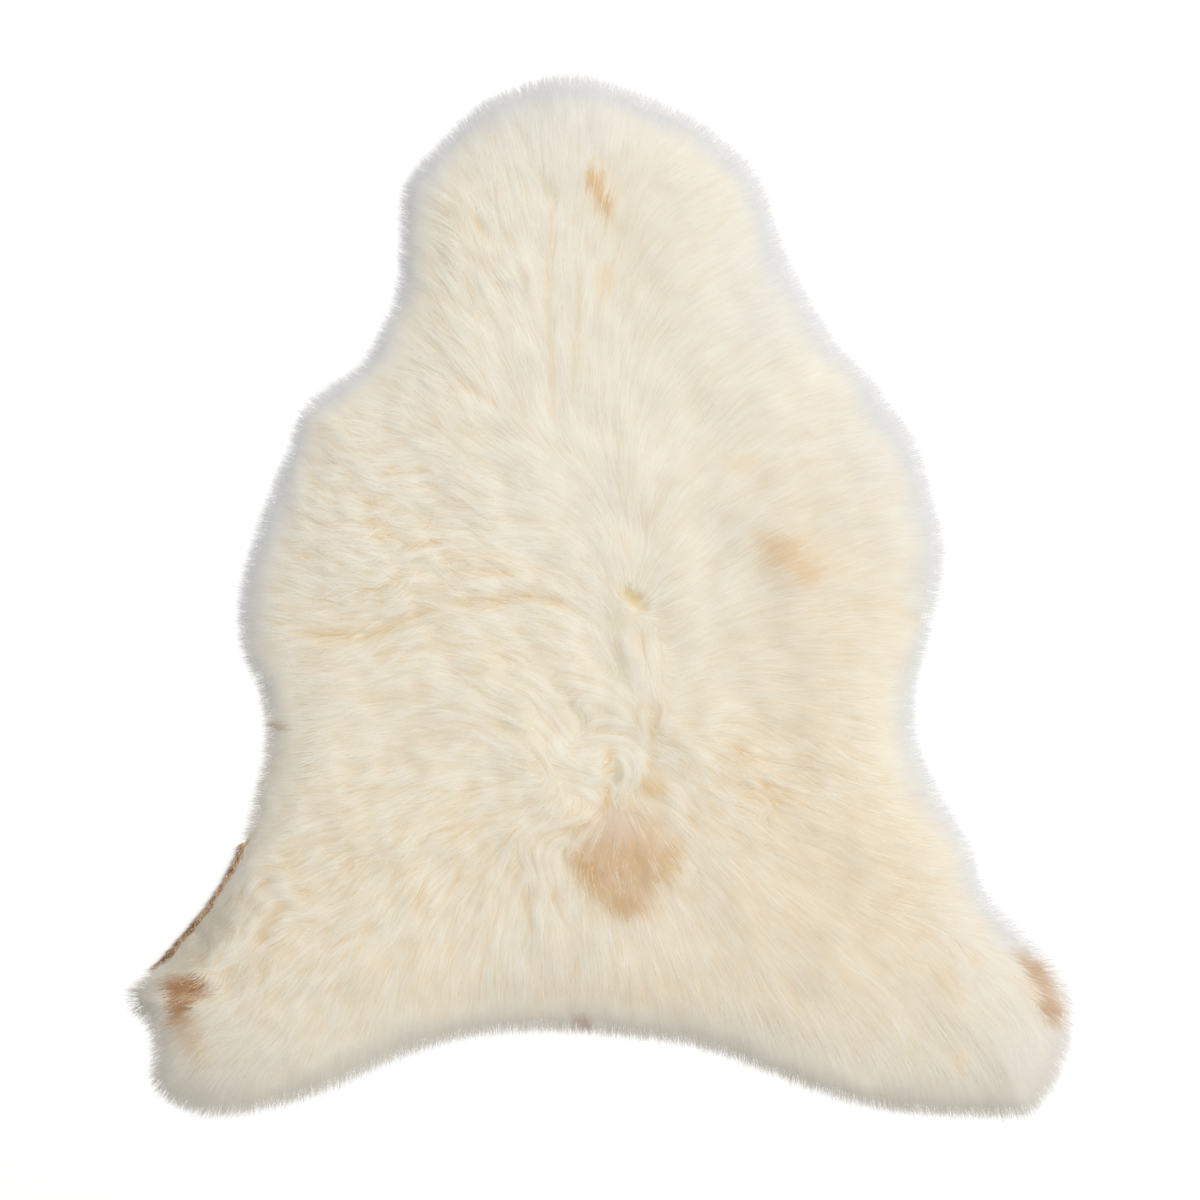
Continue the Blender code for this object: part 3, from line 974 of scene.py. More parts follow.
    def table_lie(self) -> Array:
        """Reads the table of directions between its rows and columns, at the grid's points."""
        across, along = self.grid[..., 0], self.grid[..., 1]
        stations = sorted(STATIONS, key=lambda station: station.along)
        places = [station.along * MM for station in stations]
        near_left, spine_left, spine_right, near_right = (np.full(along.shape, x * MM) for x in SPINE_COLUMNS)
        rim_left = -RIM_SHARE * np.interp(along, places, [station.left * MM for station in stations])
        rim_right = RIM_SHARE * np.interp(along, places, [station.right * MM for station in stations])
        rim_left = np.minimum(rim_left, near_left - LEAST_RIM_GAP * MM)
        rim_right = np.maximum(rim_right, near_right + LEAST_RIM_GAP * MM)
        left, right = (rim_left + near_left) / 2, (near_right + rim_right) / 2
        columns = (rim_left, left, near_left, spine_left, spine_right, near_right, right, rim_right)
        columns = np.stack(columns, axis=-1)
        shares = (across[..., None] - columns[..., :-1]) / np.diff(columns, axis=-1)
        column = np.clip(shares, 0, 1).sum(axis=-1)
        rows = np.array([row.along * MM for row in LIE_ROWS])
        row = np.interp(along, rows, np.arange(len(rows)))
        angles = np.radians([row[1:] for row in LIE_ROWS])
        table = np.stack([np.cos(angles), np.sin(angles)], axis=-1)
        return unit(Chart(np.zeros(2), 1.0, table).at(np.stack([column, row], axis=-1)))

    def lie_spread(self) -> Array:
        """Works out how fast the wool spreads apart at the grid's points, for each metre."""
        lie = self.lie.values
        spread = np.gradient(lie[..., 0], self.pitch, axis=1) + np.gradient(lie[..., 1], self.pitch, axis=0)
        return np.maximum(spread, 0)

    def crease_shade_depth(self) -> Array:
        """Works out how much golden shade, from 0 to 1, is painted at the grid's points: in creases and
        unruly patches.
        """
        depth = np.zeros(self.grid.shape[:2])
        for parting in PARTINGS + FOLDS:
            here = parting.depth / self.full_crease * self.beside_parting(parting, self.crease_reach)[0]
            depth = np.maximum(depth, here)
        for size, share in (self.small_crease_shade, self.big_crease_shade):
            patches = eased(*self.crease_patches, self.grid_noise(size, CREASE_SLICE + size))
            depth += share * patches * self.unrest.values
        return np.minimum(depth, 1)

    def bare_width(self) -> Array:
        """Works out how far the wool stops short of the outline at the grid's points."""
        width = np.zeros(self.grid.shape[:2])
        size, tall = self.bare_ragged
        ragged = tall * self.grid_noise(size, RAGGED_SLICE)
        along = self.grid[..., 1] + ragged
        half = self.bare_blend / 2
        for edge in BARE_EDGES:
            low, high = edge.low * MM, edge.high * MM
            bare = eased(low - half, low + half, along)
            bare *= 1 - eased(high - half, high + half, along)
            width += (edge.inset * MM + ragged) * bare
        beside = (self.grid[..., 0] < 0) * (1 - eased(*self.bare_band, self.inside.values))
        return width * beside

    def skin_edge(self) -> Array:
        """Works out how far inside the wool's outline the skin's edge lies, at the grid's points."""
        low, high = self.bare_ends
        along = self.grid[..., 1]
        bare = eased(low - self.skin_blend, low, along) * (1 - eased(high, high + self.skin_blend, along))
        bare = bare * (self.grid[..., 0] < 0)
        return self.skin_inset + (self.bare_inset - self.skin_inset) * bare

    def walk(self, start: Array, length: Array, turn: Array, curl: Array, phase: Array) -> Array:
        """Follows the lie of the wool from many places at once.

        Args:
            start: where each path starts.
            length: how long each is.
            turn: how far each strays from the lie, in radians.
            curl: how far each swings to and fro about it, in radians.
            phase: where in its swing each starts.

        Returns:
            The points of each path, its start among them.
        """
        points = [start]
        for step in range(GUIDE_STEPS):
            swing = curl * np.sin(phase + 2 * math.pi * step / GUIDE_STEPS)
            heading = turned(unit(self.lie.at(points[-1])), turn + swing)
            points.append(points[-1] + heading * (length / GUIDE_STEPS)[:, None])
        return np.stack(points, axis=1)


# ------------------------------
# Finishes


@dataclass(frozen=True)
class WoolFinish:
    """Undyed wool in the grease's cream, scoured and combed: matt, with a faint silky sheen.

    It is lightest at the tips, warm where the light has passed through it to the roots, grey at the rim
    where it thins out and where shade is painted, golden where shade is painted in its creases and hollows,
    and tan in a few patches.
    """

    name: str = "scoured_cream_wool"
    deep: str = "#DBD1B8"  # the colour of the underwool, golden as the light is that has come through wool
    root: str = "#DED6C2"  # the colour at the long wool's roots
    middle: str = "#E3DDCC"  # the colour at the share of its length that middle_at gives
    middle_at: float = 0.33
    tip: str = "#E7E3D6"  # the colour at the tips
    grease_and_shade: str = "#D7BA8D"  # the golden colour of the wool's grease, and of the shade painted in its creases, hollows and locks' sides
    rim: str = "#CACBCE"  # the grey at the rim: partly the thin tips' own colour, partly painted shade
    hind_rim: str = "#C5BFB3"  # the same round the hind part, where the tips are greasier
    # Which way across and along the rug the one gives way to the other.
    hind_slant: Triple = (0.5, 1, 0)
    hind_ends: Pair = (-340 * MM, -150 * MM)  # where that way it starts to, and where it has
    roughness: float = 0.72  # for a dull fibre surface
    ior: float = 1.55  # keratin's
    sheen: float = 0.25  # for the light that the fibres' sides catch
    sheen_roughness: float = 0.5  # how wide that is
    # How far apart the underwool's streaks are, drawn coarser than single fibres to show.
    streak: float = 3 * MM
    # How far apart its bends are, as in medium wool, and crimp_depth and crimp_strength their bump.
    crimp: float = 2 * MM
    crimp_depth: float = 1 * MM
    crimp_strength: float = 0.3
    stain_edge: float = 9 * MM  # how far the patches' edges are warped
    stain_grain: float = 14 * MM  # how large those warps are
    stain_fade: Pair = (1.35, 0.35)  # where a patch ends and where it is full, in its half sizes
    shyness: float = 6.5 * MM  # how far a strand's own draw takes it out of a patch that it stands in

    def material(self, strands: bool) -> Material:
        """Makes the material.

        Args:
            strands: whether it is for strands, which carry their own attributes, and not for the underwool.

        Returns:
            The material.
        """
        name = self.name if strands else self.name + "_underwool"
        made, shader = new_material(name, self.roughness, self.ior)
        tree = made.node_tree
        if strands:
            colour, place = self.strand_colour(tree)
        else:
            colour, place = self.underwool_colour(tree)
            self.add_crimp(tree, shader)
        tree.links.new(self.stained(tree, colour, place), shader.inputs["Base Color"])
        shader.inputs["Sheen Weight"].default_value = self.sheen
        shader.inputs["Sheen Roughness"].default_value = self.sheen_roughness
        shader.inputs["Sheen Tint"].default_value = linear(self.tip)
        return made

    def strand_colour(self, tree: NodeTree) -> tuple[NodeSocket, NodeSocket]:
        """Colours a strand from its root to its tip, a little unlike its neighbours.

        Args:
            tree: the material's nodes.

        Returns:
            The colour, and the strand's place on the rug.
        """
        strand = add_node(tree, "ShaderNodeAttribute", attribute_name="strand")
        place = add_node(tree, "ShaderNodeAttribute", attribute_name="place").outputs["Vector"]
        run, warmth, rim = add_node(tree, "ShaderNodeSeparateXYZ", {0: strand.outputs["Vector"]}).outputs
        ramp = add_node(tree, "ShaderNodeValToRGB", {0: run})
        stops = ramp.color_ramp.elements
        stops[0].color, stops[1].color = linear(self.root), linear(self.tip)
        stops.new(self.middle_at).color = linear(self.middle)
        # The warmth mixes in the grease and the golden shade painted in creases, hollows and locks' sides.
        colours = {MIX_SHARE: warmth, MIX_A: ramp.outputs["Color"], MIX_B: linear(self.grease_and_shade)}
        grease_and_shade = add_node(tree, "ShaderNodeMix", colours, data_type="RGBA")
        return self.at_rim(tree, grease_and_shade.outputs[MIXED], rim, place), place

    def underwool_colour(self, tree: NodeTree) -> tuple[NodeSocket, NodeSocket]:
        """Colours the dense underwool, with its fine streaks.

        Args:
            tree: the material's nodes.

        Returns:
            The colour, and the place on the rug.
        """
        coords = add_node(tree, "ShaderNodeTexCoord").outputs["Object"]
        flattened = add_node(tree, "ShaderNodeVectorMath", {0: coords, 1: (1, 1, 0)}, operation="MULTIPLY")
        place = flattened.outputs[0]
        streaks = add_node(tree, "ShaderNodeTexNoise", {"Vector": coords, "Scale": 1 / self.streak})
        colours = {MIX_SHARE: streaks.outputs["Fac"], MIX_A: linear(self.deep), MIX_B: linear(self.root)}
        colour = add_node(tree, "ShaderNodeMix", colours, data_type="RGBA")
        rim = add_node(tree, "ShaderNodeAttribute", attribute_name="rim")
        return self.at_rim(tree, colour.outputs[MIXED], rim.outputs["Fac"], place), place

    def at_rim(
        self,
        tree: NodeTree,
        colour: NodeSocket,
        weight: NodeSocket,
        place: NodeSocket,
    ) -> NodeSocket:
        """Mixes the wool's colour into its rim's grey, which is partly painted shade.

        Args:
            tree: the material's nodes.
            colour: the wool's colour.
            weight: how much of the rim's colour it takes.
            place: where on the rug it is.

        Returns:
            The mixed colour.
        """
        slanted = {0: place, 1: self.hind_slant}
        ahead = add_node(tree, "ShaderNodeVectorMath", slanted, operation="DOT_PRODUCT")
        low, high = self.hind_ends
        band = {"Value": ahead.outputs["Value"], FROM_LOW: low, FROM_HIGH: high, TO_LOW: 0.0, TO_HIGH: 1.0}
        front = add_node(tree, "ShaderNodeMapRange", band, interpolation_type="SMOOTHSTEP")
        colours = {MIX_SHARE: front.outputs[0], MIX_A: linear(self.hind_rim), MIX_B: linear(self.rim)}
        rim = add_node(tree, "ShaderNodeMix", colours, data_type="RGBA")
        colours = {MIX_SHARE: weight, MIX_A: colour, MIX_B: rim.outputs[MIXED]}
        return add_node(tree, "ShaderNodeMix", colours, data_type="RGBA").outputs[MIXED]

    def add_crimp(self, tree: NodeTree, shader: Node) -> None:
        """Adds the underwool's fine crimp as bump."""
        coords = add_node(tree, "ShaderNodeTexCoord").outputs["Object"]
        crimp = add_node(tree, "ShaderNodeTexNoise", {"Vector": coords, "Scale": 1 / self.crimp})
        lumps = {"Height": crimp.outputs["Fac"], "Strength": self.crimp_strength}
        lumps["Distance"] = self.crimp_depth
        bump = add_node(tree, "ShaderNodeBump", lumps)
        tree.links.new(bump.outputs["Normal"], shader.inputs["Normal"])

    def stained(
        self, tree: NodeTree, colour: NodeSocket, place: NodeSocket
    ) -> NodeSocket:
        """Lays the tan patches, and the few patches of painted shade, over the wool's colour, each with a
        soft and uneven edge.

        Args:
            tree: the material's nodes.
            colour: the wool's colour.
            place: where on the rug it is.

        Returns:
            The colour with the patches.
        """
        grain = add_node(tree, "ShaderNodeTexNoise", {"Vector": place, "Scale": 1 / self.stain_grain})
        halves = {0: grain.outputs["Color"], 1: (0.5, 0.5, 0.5)}
        centred = add_node(tree, "ShaderNodeVectorMath", halves, operation="SUBTRACT")
        reach = {0: centred.outputs[0], 1: (2 * self.stain_edge,) * 3}
        shift = add_node(tree, "ShaderNodeVectorMath", reach, operation="MULTIPLY")
        warped = add_node(tree, "ShaderNodeVectorMath", {0: place, 1: shift.outputs[0]}, operation="ADD")
        none, full = self.stain_fade
        for stain in STAINS:
            spot = add_node(
                tree,
                "ShaderNodeMapping",
                {
                    "Vector": warped.outputs[0],
                    "Location": (stain.across * MM, stain.along * MM, 0),
                    "Rotation": (0, 0, math.radians(stain.slant)),
                    "Scale": (stain.half_length * MM, stain.half_width * MM, self.shyness),
                },
                vector_type="TEXTURE",
                label=stain.name,
            )
            away = add_node(tree, "ShaderNodeVectorMath", {0: spot.outputs[0]}, operation="LENGTH")
            fade = {"Value": away.outputs["Value"], FROM_LOW: none, FROM_HIGH: full}
            fade |= {TO_LOW: 0.0, TO_HIGH: stain.strength}
            weight = add_node(tree, "ShaderNodeMapRange", fade, interpolation_type="SMOOTHSTEP")
            colours = {MIX_SHARE: weight.outputs[0], MIX_A: colour, MIX_B: linear(stain.colour)}
            colour = add_node(tree, "ShaderNodeMix", colours, data_type="RGBA").outputs[MIXED]
        return colour


@dataclass(frozen=True)
class HairFinish:
    """Short coarse leg hair in its natural brown: a little glossier than wool, and darker in some patches."""

    name: str = "short_brown_hair"
    dark: str = "#8A6447"
    light: str = "#CDB18F"
    roughness: float = 0.55
    ior: float = 1.55

    def material(self) -> Material:
        """Makes the material, which mixes its two browns by strand."""
        made, shader = new_material(self.name, self.roughness, self.ior)
        tree = made.node_tree
        strand = add_node(tree, "ShaderNodeAttribute", attribute_name="strand")
        parts = add_node(tree, "ShaderNodeSeparateXYZ", {0: strand.outputs["Vector"]})
        colours = {MIX_SHARE: parts.outputs["Y"], MIX_A: linear(self.dark), MIX_B: linear(self.light)}
        colour = add_node(tree, "ShaderNodeMix", colours, data_type="RGBA")
        tree.links.new(colour.outputs[MIXED], shader.inputs["Base Color"])
        return made


@dataclass(frozen=True)
class SuedeFinish:
    """The flesh side of a vegetable-tanned sheepskin, buffed to a dull suede nap with faint mottling."""

    name: str = "tanned_suede"
    dark: str = "#9C7148"
    light: str = "#C39B6E"
    roughness: float = 0.9
    ior: float = 1.5
    mottle: float = 32 * MM  # how large the tanning's cloudy patches are
    mottle_detail: float = 5.0
    nap: float = 1.2 * MM  # how far apart the nap's fibre bundles are, drawn coarser than real ones to show
    nap_depth: float = 0.4 * MM
    nap_strength: float = 0.5

    def material(self) -> Material:
        """Makes the material, with its mottling and the bump of its nap."""
        made, shader = new_material(self.name, self.roughness, self.ior)
        tree = made.node_tree
        coords = add_node(tree, "ShaderNodeTexCoord").outputs["Object"]
        patches = {"Vector": coords, "Scale": 1 / self.mottle, "Detail": self.mottle_detail}
        mottle = add_node(tree, "ShaderNodeTexNoise", patches)
        colours = {MIX_SHARE: mottle.outputs["Fac"], MIX_A: linear(self.dark), MIX_B: linear(self.light)}
        colour = add_node(tree, "ShaderNodeMix", colours, data_type="RGBA")
        nap = add_node(tree, "ShaderNodeTexNoise", {"Vector": coords, "Scale": 1 / self.nap})
        lumps = {"Height": nap.outputs["Fac"], "Strength": self.nap_strength, "Distance": self.nap_depth}
        bump = add_node(tree, "ShaderNodeBump", lumps)
        tree.links.new(colour.outputs[MIXED], shader.inputs["Base Color"])
        tree.links.new(bump.outputs["Normal"], shader.inputs["Normal"])
        return made


@dataclass(frozen=True)
class FloorFinish:
    """Matt white studio board."""

    name: str = "white_studio_board"
    colour: str = "#FBFBFB"
    roughness: float = 0.9
    ior: float = 1.5

    def material(self) -> Material:
        """Makes the material."""
        made, shader = new_material(self.name, self.roughness, self.ior)
        shader.inputs["Base Color"].default_value = linear(self.colour)
        return made


# ------------------------------
# The skin and the underwool


RIM_ROUNDS = 3                 # how often a rim is drawn nearer to its line


def trimmed_grid(pelt: Pelt, edge: Chart, pitch: float) -> bmesh.types.BMesh:
    """Makes a flat grid with its rim drawn onto the line where a chart is zero.

    Args:
        pelt: the pelt.
        edge: a chart that is positive inside that line.
        pitch: the grid's step.

    Returns:
        The open sheet, at the floor's height.
    """
    low, high = pelt.outline.min(axis=0), pelt.outline.max(axis=0)
    columns, rows = (math.ceil(span / pitch) for span in high - low)
    bm = bmesh.new()
    bmesh.ops.create_grid(
        bm,
        x_segments=columns,
        y_segments=rows,
        size=0.5,
        matrix=Matrix.Translation((*(low + high) / 2, 0)) @ Matrix.Diagonal((*(high - low), 1, 1)),
    )
    bm.verts.ensure_lookup_table()
    places = np.array([vert.co[:2] for vert in bm.verts])
    outside = edge.at(places) < 0
    bmesh.ops.delete(bm, geom=[vert for vert, gone in zip(bm.verts, outside) if gone], context="VERTS")
    slope = pelt.chart(pelt.gradient(edge.values))
    rim = [vert for vert in bm.verts if vert.is_boundary]
    for _ in range(RIM_ROUNDS):
        places = np.array([vert.co[:2] for vert in rim])
        places -= unit(slope.at(places)) * edge.at(places)[:, None]
        for vert, place in zip(rim, places):
            vert.co = (*place, 0)
    return bm


@dataclass
class Skin:
    """The tanned skin, a sheet on the floor that stops short of the wool's outline."""

    pelt: Pelt
    finish: SuedeFinish
    thickness: float = 2.0 * MM
    pitch: float = 12 * MM

    def build(self) -> Object:
        """Builds the skin, closed all round.

        Returns:
            The skin's object.
        """
        bm = trimmed_grid(self.pelt, self.pelt.skin, self.pitch)
        bmesh.ops.solidify(bm, geom=bm.faces[:], thickness=self.thickness)
        lowest = min(vert.co.z for vert in bm.verts)
        bmesh.ops.translate(bm, verts=bm.verts[:], vec=(0, 0, -lowest))
        bmesh.ops.recalc_face_normals(bm, faces=bm.faces[:])
        skin = object_from_bmesh(bm, "skin", smooth=False)
        skin.data.materials.append(self.finish.material())
        return skin


@dataclass
class Underwool:
    """The dense short wool next to the skin, a lumpy pillow that the long strands root in."""

    pelt: Pelt
    finish: WoolFinish
    depth: float = 8.5 * MM  # how far below the wool's top it stays
    least: float = 2.4 * MM  # its least height
    foot: float = 2.1 * MM  # its underside's height, on the skin
    inset: float = 10 * MM  # how far inside the outline it starts
    bare_inset: float = 0.7  # what share of that it keeps off at the bare edge
    ragged: Pair = (9 * MM, 4 * MM)  # size and depth of the nicks in its edge
    rise: float = 42 * MM  # from that edge in to where it stands at full height
    pitch: float = 6 * MM
    crisp: float = math.radians(60)  # the least angle of an edge that is shaded sharp, in radians

    def height(self, places: Array) -> Array:
        """Works out how high the underwool stands at places on the rug."""
        rise = eased(self.inset, self.inset + self.rise, self.pelt.inside.at(places))
        return self.least + np.maximum(self.pelt.top.at(places) - self.depth - self.least, 0) * rise

    def build(self) -> Object:
        """Builds the underwool, closed all round and standing on the skin.

        Returns:
            The underwool's object.
        """
        bare = self.pelt.bare.values
        size, tall = self.ragged
        inset = self.inset * (1 - self.bare_inset * eased(0, 2 * MM, bare))
        inset = inset + tall * self.pelt.grid_noise(size, UNDERWOOL_SLICE)
        edge = self.pelt.chart(self.pelt.inside.values - bare - inset)
        bm = trimmed_grid(self.pelt, edge, self.pitch)
        bmesh.ops.solidify(bm, geom=bm.faces[:], thickness=self.least)
        for line in bm.edges:
            line.smooth = line.calc_face_angle(0) < self.crisp
        level = np.array([vert.co.z for vert in bm.verts])
        on_top = level > (level.min() + level.max()) / 2
        places = np.array([vert.co[:2] for vert in bm.verts])
        for vert, height in zip(bm.verts, np.where(on_top, self.height(places), self.foot)):
            vert.co.z = height
        bmesh.ops.recalc_face_normals(bm, faces=bm.faces[:])
        underwool = object_from_bmesh(bm, "underwool")
        # The rim's grey, partly painted shade
        rim = self.pelt.grey_and_shade.at(np.array([vert.co[:2] for vert in underwool.data.vertices]))
        attribute = underwool.data.attributes.new("rim", "FLOAT", "POINT")
        attribute.data.foreach_set("value", rim.astype(np.float32))
        underwool.data.materials.append(self.finish.material(strands=False))
        return underwool


# ------------------------------
# The long wool


class LockLuck(IntEnum):
    """What each of a lock's draws gives its strands."""

    LENGTH = 0
    PHASE = 1
    WAVE = 2
    LIFT = 3
    WARMTH = 4


class TuftLuck(IntEnum):
    """What each of a tuft's draws gives its strands."""

    LENGTH = 0
    PHASE = 1
    LIFT = 2
    GOLD = 3
    WARMTH = 4


@dataclass
class Clumps:
    """Places that the strands draw towards, one in each cell of a square grid, and what each gives them."""

    pelt: Pelt
    pitch: float  # the cells' size
    seed: int  # for the draws
    spots: Pair = (0.1, 0.9)  # where in its cell each place may be, in shares of the cell
    centres: Array = field(init=False)  # the places, in rows and columns
    middles: Array = field(init=False)  # the same in one row
    luck: Array = field(init=False)  # what each gives, from -1 to 1, in the order of LockLuck or TuftLuck

    def __post_init__(self) -> None:
        """Draws a place and its luck in each cell."""
        draws = np.random.default_rng(self.seed)
        low, high = self.pelt.grid[0, 0], self.pelt.grid[-1, -1]
        columns, rows = (int((high[i] - low[i]) / self.pitch) + 1 for i in (0, 1))
        corners = np.stack(np.meshgrid(np.arange(columns), np.arange(rows)), axis=-1)
        self.centres = low + (corners + draws.uniform(*self.spots, corners.shape)) * self.pitch
        self.middles = self.centres.reshape(-1, 2)
        self.luck = draws.uniform(-1, 1, (len(self.middles), len(LockLuck)))

    def nearest(self, places: Array) -> Array:
        """Finds the clump nearest to each place.

        Args:
            places: points on the floor.

        Returns:
            The number of each one's clump.
        """
        rows, columns = self.centres.shape[:2]
        cell = np.floor((places - self.pelt.grid[0, 0]) / self.pitch).astype(int)
        best = np.full(len(places), np.inf)
        found = np.zeros(len(places), int)
        for right in (-1, 0, 1):
            for up in (-1, 0, 1):
                column = np.clip(cell[:, 0] + right, 0, columns - 1)
                row = np.clip(cell[:, 1] + up, 0, rows - 1)
                away = np.linalg.norm(self.centres[row, column] - places, axis=1)
                closer = away < best
                best[closer] = away[closer]
                found[closer] = (row * columns + column)[closer]
        return found


class CoatKind(Enum):
    """The kinds of strand that a fleece is made of."""

    DOWN = "down"
    STAPLE = "staple"
    GUARD = "guard"


@dataclass(frozen=True)
class StrandSizes:
    """What one kind of strand measures."""

    length: float  # the longest, over the middle of the rug
    width: float  # at its widest
    lift: float  # how far above or below the wool's lying height it goes
    wave: float  # how far it swings to each side
    wave_length: float  # from one swing to the next
    gather: float  # how far its tip is drawn to its tuft, from 0 to 1


STRAND_SIZES = {
    CoatKind.DOWN: StrandSizes(44 * MM, 1.1 * MM, -3.5 * MM, 1.0 * MM, 26 * MM, 0.30),
    CoatKind.STAPLE: StrandSizes(60 * MM, 0.95 * MM, -0.5 * MM, 1.1 * MM, 40 * MM, 0.50),
    CoatKind.GUARD: StrandSizes(72 * MM, 0.75 * MM, 1.0 * MM, 1.1 * MM, 48 * MM, 0.60),
}

STRAND_BENDS = 5               # straight pieces in a strand
STRAND_PROFILE = (0.55, 0.95, 1.0, 0.85, 0.55, 0.0)   # its width from root to tip
STRAND_SHARES = np.linspace(0, 1, STRAND_BENDS + 1)
GUIDE_SEED = 9
GUIDE_STEPS = 10
GUIDE_REACH = 1.15             # how far a strand's path goes past its length


def unit_ribbon() -> tuple[Array, Array]:
    """Makes a flat pointed ribbon one unit wide and long, from its root at the origin along +Y.

    Returns:
        Its points and its three-sided faces.
    """
    bm = bmesh.new()
    bmesh.ops.create_grid(
        bm, x_segments=1, y_segments=STRAND_BENDS, size=0.5, matrix=Matrix.Translation((0, 0.5, 0))
    )
    tip = [vert for vert in bm.verts if vert.co.y > 1 - 1e-4]
    bmesh.ops.pointmerge(bm, verts=tip, merge_co=(0, 1, 0))
    bmesh.ops.triangulate(bm, faces=bm.faces[:])
    bm.verts.index_update()
    places = np.array([vert.co[:] for vert in bm.verts])
    faces = np.array([[vert.index for vert in face.verts] for face in bm.faces])
    bm.free()
    return places, faces


@dataclass
class Ribbons:
    """Many strands as one mesh: a pointed ribbon along each strand's path."""

    name: str
    points: Array  # each strand's points, from root to tip
    width: Array  # each strand's width
    draws: np.random.Generator  # the source of the ribbons' rolls
    lowest: float = 0.3 * MM  # the least height of any point
    straight: float = 0.15  # how much of the strand's chord there is in its heading, which steadies its bends
    roll: float = 1.05  # how far a ribbon is rolled about its strand, in radians, and twist how unevenly
    twist: float = 0.3
    map_columns: int = 210  # how many strands lie side by side in the map that colours are baked through
    # How much of its cell there each one fills, and map_corner where in it that starts.
    map_share: Pair = (0.6, 0.8)
    map_corner: Pair = (0.5, 0.1)
    above: Array = field(init=False)  # away from the wool at each point, and beside sideways
    beside: Array = field(init=False)
    width_way: Array = field(init=False)  # which way each ribbon is wide
    # Which of a strand's points each vertex belongs to, side which side of it, and run how far along.
    ring: Array = field(init=False)
    side: Array = field(init=False)
    run: Array = field(init=False)
    mesh: Mesh = field(init=False)

    def __post_init__(self) -> None:
        """Builds the mesh."""
        count = len(self.points)
        places, faces = unit_ribbon()
        self.ring = np.rint(places[:, 1] * STRAND_BENDS).astype(int)
        self.side = places[:, 0]
        self.run = np.broadcast_to(places[:, 1], (count, len(places)))
        chord = self.points[:, -1:] - self.points[:, :1]
        ahead = unit(np.gradient(self.points, axis=1) + self.straight * chord)
        self.beside = unit(np.cross(ahead, np.array([0.0, 0.0, 1.0])))
        self.above = np.cross(self.beside, ahead)
        roll = self.draws.uniform(-self.roll, self.roll, count)[:, None]
        roll = roll + self.draws.normal(0, self.twist, count)[:, None] * (2 * STRAND_SHARES - 1)
        self.width_way = self.beside * np.cos(roll)[..., None] + self.above * np.sin(roll)[..., None]
        half = self.width[:, None] * np.array(STRAND_PROFILE)
        vertices = self.points[:, self.ring]
        vertices = vertices + self.width_way[:, self.ring] * (half[:, self.ring] * self.side)[..., None]
        vertices[..., 2] = np.maximum(vertices[..., 2], self.lowest)
        corners = vertices[:, faces]
        facing = np.cross(corners[..., 1, :] - corners[..., 0, :], corners[..., 2, :] - corners[..., 0, :])
        faces = np.where(facing[..., 2:] < 0, faces[:, ::-1], faces)
        numbers = faces + (np.arange(count) * len(places))[:, None, None]
        self.mesh = bpy.data.meshes.new(self.name)
        self.mesh.from_pydata(vertices.reshape(-1, 3), [], numbers.reshape(-1, 3))
        self.mesh.shade_smooth()
        self.add_map(places, faces)

    def add_map(self, places: Array, faces: Array) -> None:
        """Gives each strand a cell of its own in the map that its colours are baked through.

        Args:
            places: the unit ribbon's points.
            faces: each strand's faces, all turned up.
        """
        rows = math.ceil(len(self.points) / self.map_columns)
        number = np.arange(len(self.points))
        cell = np.column_stack([number % self.map_columns, number // self.map_columns])
        corner = places[faces.reshape(len(faces), -1), :2] * self.map_share + self.map_corner
        uv = (cell[:, None] + corner) / (self.map_columns, rows)
        layer = self.mesh.uv_layers.new(name=BAKE_MAP, do_init=False)
        layer.uv.foreach_set("vector", uv.astype(np.float32).ravel())

    def shade_by(self, normal: Array, rounding: Array | float) -> None:
        """Lights the strands by these normals, one at each of their points.

        Args:
            normal: the normals.
            rounding: how far they turn towards each strand's two sides.
        """
        normal = normal[:, self.ring] + self.width_way[:, self.ring] * self.side[:, None] * rounding
        self.mesh.normals_split_custom_set_from_vertices(unit(normal).reshape(-1, 3))

    def shade_by_wool(self, slope: Array, lean: Array, rounding: Array | float) -> None:
        """Lights the strands mostly as the wool's swells, and a little as themselves.

        Args:
            slope: the wool's slope at each of their points.
            lean: how far each point's normal leans sideways.
            rounding: how far their own normals count, and turn towards each strand's two sides.
        """
        swell = unit(np.concatenate([-slope, np.ones((*slope.shape[:2], 1))], axis=-1))
        self.shade_by(swell + rounding * self.above + self.beside * lean, rounding)

    def add_attribute(self, name: str, values: Array) -> None:
        """Adds an attribute of three numbers for each vertex."""
        attribute = self.mesh.attributes.new(name, "FLOAT_VECTOR", "POINT")
        attribute.data.foreach_set("vector", np.ascontiguousarray(values, np.float32).ravel())

    def finished(self) -> Object:
        """Puts the mesh into an object of its own."""
        made = bpy.data.objects.new(self.name, self.mesh)
        bpy.context.scene.collection.objects.link(made)
        return made


